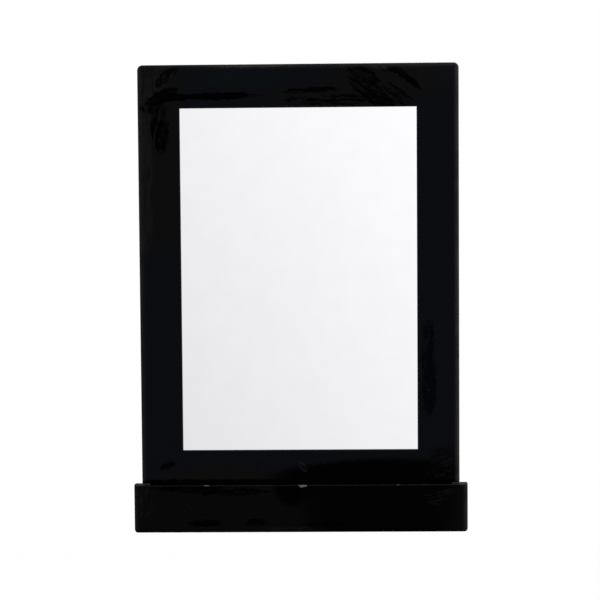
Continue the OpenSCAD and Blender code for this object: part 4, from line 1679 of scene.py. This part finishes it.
@dataclass(frozen=True)
class Studio:
    """A plain pale floor far below the cabinet, soft light round it, and the camera."""

    boxes: tuple[SoftBox, ...] = (
        SoftBox("key", (-1.7, -2.4, 1.2), (1.6, 1.2), 42.0),
        SoftBox("fill", (2.1, -2.2, 0.5), (1.4, 1.6), 26.0),
        SoftBox("rear", (0.6, 2.6, 1.4), (2.0, 1.2), 30.0),
    )
    floor_z: float = -2.8              # metres
    floor_half: float = 9.0            # metres from its middle to a side
    floor_paint: str = "#e6e6e6"
    floor_glow: float = 0.55           # lifts the paint to white where the camera sees it
    world_level: float = 0.55          # of the even light
    reflected: str = "#fdfdff"         # what the mirror and other shiny pieces show
    reflected_level: float = 0.975     # its strength before the slope
    reflected_slope: tuple[float, float, float] = (0.68, 0.0, 0.45)
    reflected_range: tuple[float, float] = (0.6, 1.2)
    aim_mm: tuple[float, float, float] = (1.20, -142.0, -301.45)
    distance_mm: float = 2000.0        # from the camera to the point it aims at
    pitch_deg: float = 2.621
    yaw_deg: float = -1.0
    roll_deg: float = -0.387
    view_deg: float = 25.332           # across the whole width of the picture
    sensor_mm: float = 36.0

    def build(self) -> None:
        """Make the world, the lights, the floor and the camera."""
        self.world()
        self.floor()
        for box in self.boxes:
            self.light(box)
        self.camera()
        bpy.context.scene.view_settings.view_transform = "Standard"

    def world(self) -> None:
        """Light evenly, show white to the camera, and a soft fall of tone in reflections.

        The reflected tone is a plain level plus a share of the ray's own X and Z direction,
        so that it falls slowly from the upper right to the lower left.
        """
        world = bpy.data.worlds.new("studio")
        bpy.context.scene.world = world
        world.use_nodes = True
        tree = world.node_tree
        tree.nodes.clear()
        path = add_node(tree, "ShaderNodeLightPath")
        way = add_node(tree, "ShaderNodeTexCoord").outputs["Generated"]
        slope = add_node(
            tree, "ShaderNodeVectorMath", {1: self.reflected_slope}, {0: way},
            operation="DOT_PRODUCT",
        ).outputs["Value"]
        level = add_node(
            tree, "ShaderNodeMath", {1: self.reflected_level}, {0: slope}, operation="ADD"
        ).outputs[0]
        least, most = self.reflected_range
        held = add_node(
            tree, "ShaderNodeClamp", {"Min": least, "Max": most}, {"Value": level}
        ).outputs[0]
        reflected = add_node(
            tree, "ShaderNodeBackground", {"Color": linear(self.reflected)}, {"Strength": held}
        )
        plain = add_node(
            tree, "ShaderNodeBackground",
            {"Color": linear("#ffffff"), "Strength": self.world_level},
        )
        white = add_node(tree, "ShaderNodeBackground", {"Color": linear("#ffffff")})
        shown = add_node(
            tree, "ShaderNodeMath",
            links={0: path.outputs["Is Camera Ray"], 1: path.outputs["Is Transmission Ray"]},
            operation="MAXIMUM",
        ).outputs[0]
        lit = add_node(
            tree, "ShaderNodeMixShader",
            links={0: path.outputs["Is Glossy Ray"], 1: plain.outputs[0],
                   2: reflected.outputs[0]},
        )
        both = add_node(
            tree, "ShaderNodeMixShader", links={0: shown, 1: lit.outputs[0], 2: white.outputs[0]}
        )
        add_node(tree, "ShaderNodeOutputWorld", links={"Surface": both.outputs[0]})

    def floor(self) -> None:
        """Lay a plain pale floor that reads as white but keeps the cabinet's shadow."""
        side = np.array([-self.floor_half, self.floor_half])
        grid = np.stack(np.meshgrid(side, side), -1).reshape(-1, 2)
        points = np.column_stack([grid, np.full(4, self.floor_z)])
        mesh = bpy.data.meshes.new("studio_floor")
        mesh.from_pydata(points.tolist(), [], [[0, 1, 3, 2]])
        floor = bpy.data.objects.new("studio_floor", mesh)
        bpy.context.scene.collection.objects.link(floor)
        material = bpy.data.materials.new("pale_floor_paint")
        material.use_nodes = True
        tree = material.node_tree
        tree.nodes.clear()
        path = add_node(tree, "ShaderNodeLightPath")
        seen = path.outputs["Is Camera Ray"]
        for kind in ("Is Glossy Ray", "Is Transmission Ray"):
            seen = add_node(
                tree, "ShaderNodeMath", links={0: seen, 1: path.outputs[kind]},
                operation="MAXIMUM",
            ).outputs[0]
        strength = add_node(
            tree, "ShaderNodeMath", {1: self.floor_glow}, {0: seen}, operation="MULTIPLY"
        ).outputs[0]
        glow = add_node(
            tree, "ShaderNodeEmission", {"Color": linear("#ffffff")}, {"Strength": strength}
        )
        paint = add_node(tree, "ShaderNodeBsdfDiffuse", {"Color": linear(self.floor_paint)})
        both = add_node(
            tree, "ShaderNodeAddShader", links={0: glow.outputs[0], 1: paint.outputs[0]}
        )
        add_node(tree, "ShaderNodeOutputMaterial", links={"Surface": both.outputs[0]})
        mesh.materials.append(material)
        floor.visible_glossy = False

    def light(self, box: SoftBox) -> None:
        """Hang a soft box and turn it to the cabinet.

        Args:
            box: the soft box.
        """
        lamp = bpy.data.lights.new(box.name, "AREA")
        lamp.shape = "RECTANGLE"
        lamp.size, lamp.size_y = box.size
        lamp.energy = box.power
        hung = bpy.data.objects.new(box.name, lamp)
        hung.location = box.place
        towards = Vector(self.aim_mm) * MM - Vector(box.place)
        hung.rotation_euler = towards.to_track_quat("-Z", "Y").to_euler()
        hung.visible_camera = False
        bpy.context.scene.collection.objects.link(hung)

    def camera(self) -> None:
        """Place the camera where the photograph was taken from.

        The turn is pitch about X, then roll about Y, then yaw about Z. Its rows are the
        camera's own right, forward and up in the model's frame.
        """
        lens = bpy.data.cameras.new("photo_camera")
        lens.sensor_width = self.sensor_mm
        lens.lens = self.sensor_mm / 2 / math.tan(math.radians(self.view_deg) / 2)
        lens.clip_end = 100.0
        camera = bpy.data.objects.new("photo_camera", lens)
        turn = (
            Matrix.Rotation(math.radians(self.yaw_deg), 3, "Z")
            @ Matrix.Rotation(math.radians(self.roll_deg), 3, "Y")
            @ Matrix.Rotation(math.radians(self.pitch_deg), 3, "X")
        )
        right, forward, up = turn[0], turn[1], turn[2]
        place = (Vector(self.aim_mm) - forward * self.distance_mm) * MM
        axes = Matrix((right, up, -forward)).transposed()
        camera.matrix_world = Matrix.Translation(place) @ axes.to_4x4()
        bpy.context.scene.collection.objects.link(camera)
        bpy.context.scene.camera = camera


def main() -> None:
    """Build the sub-assemblies in order, then the studio round them."""
    logging.basicConfig(level=logging.INFO, format="%(message)s")
    for assembly in (Door(), Drawer(), Carcass(), Fittings()):
        assembly.build()
    Studio().build()


if __name__ == "__main__":
    main()
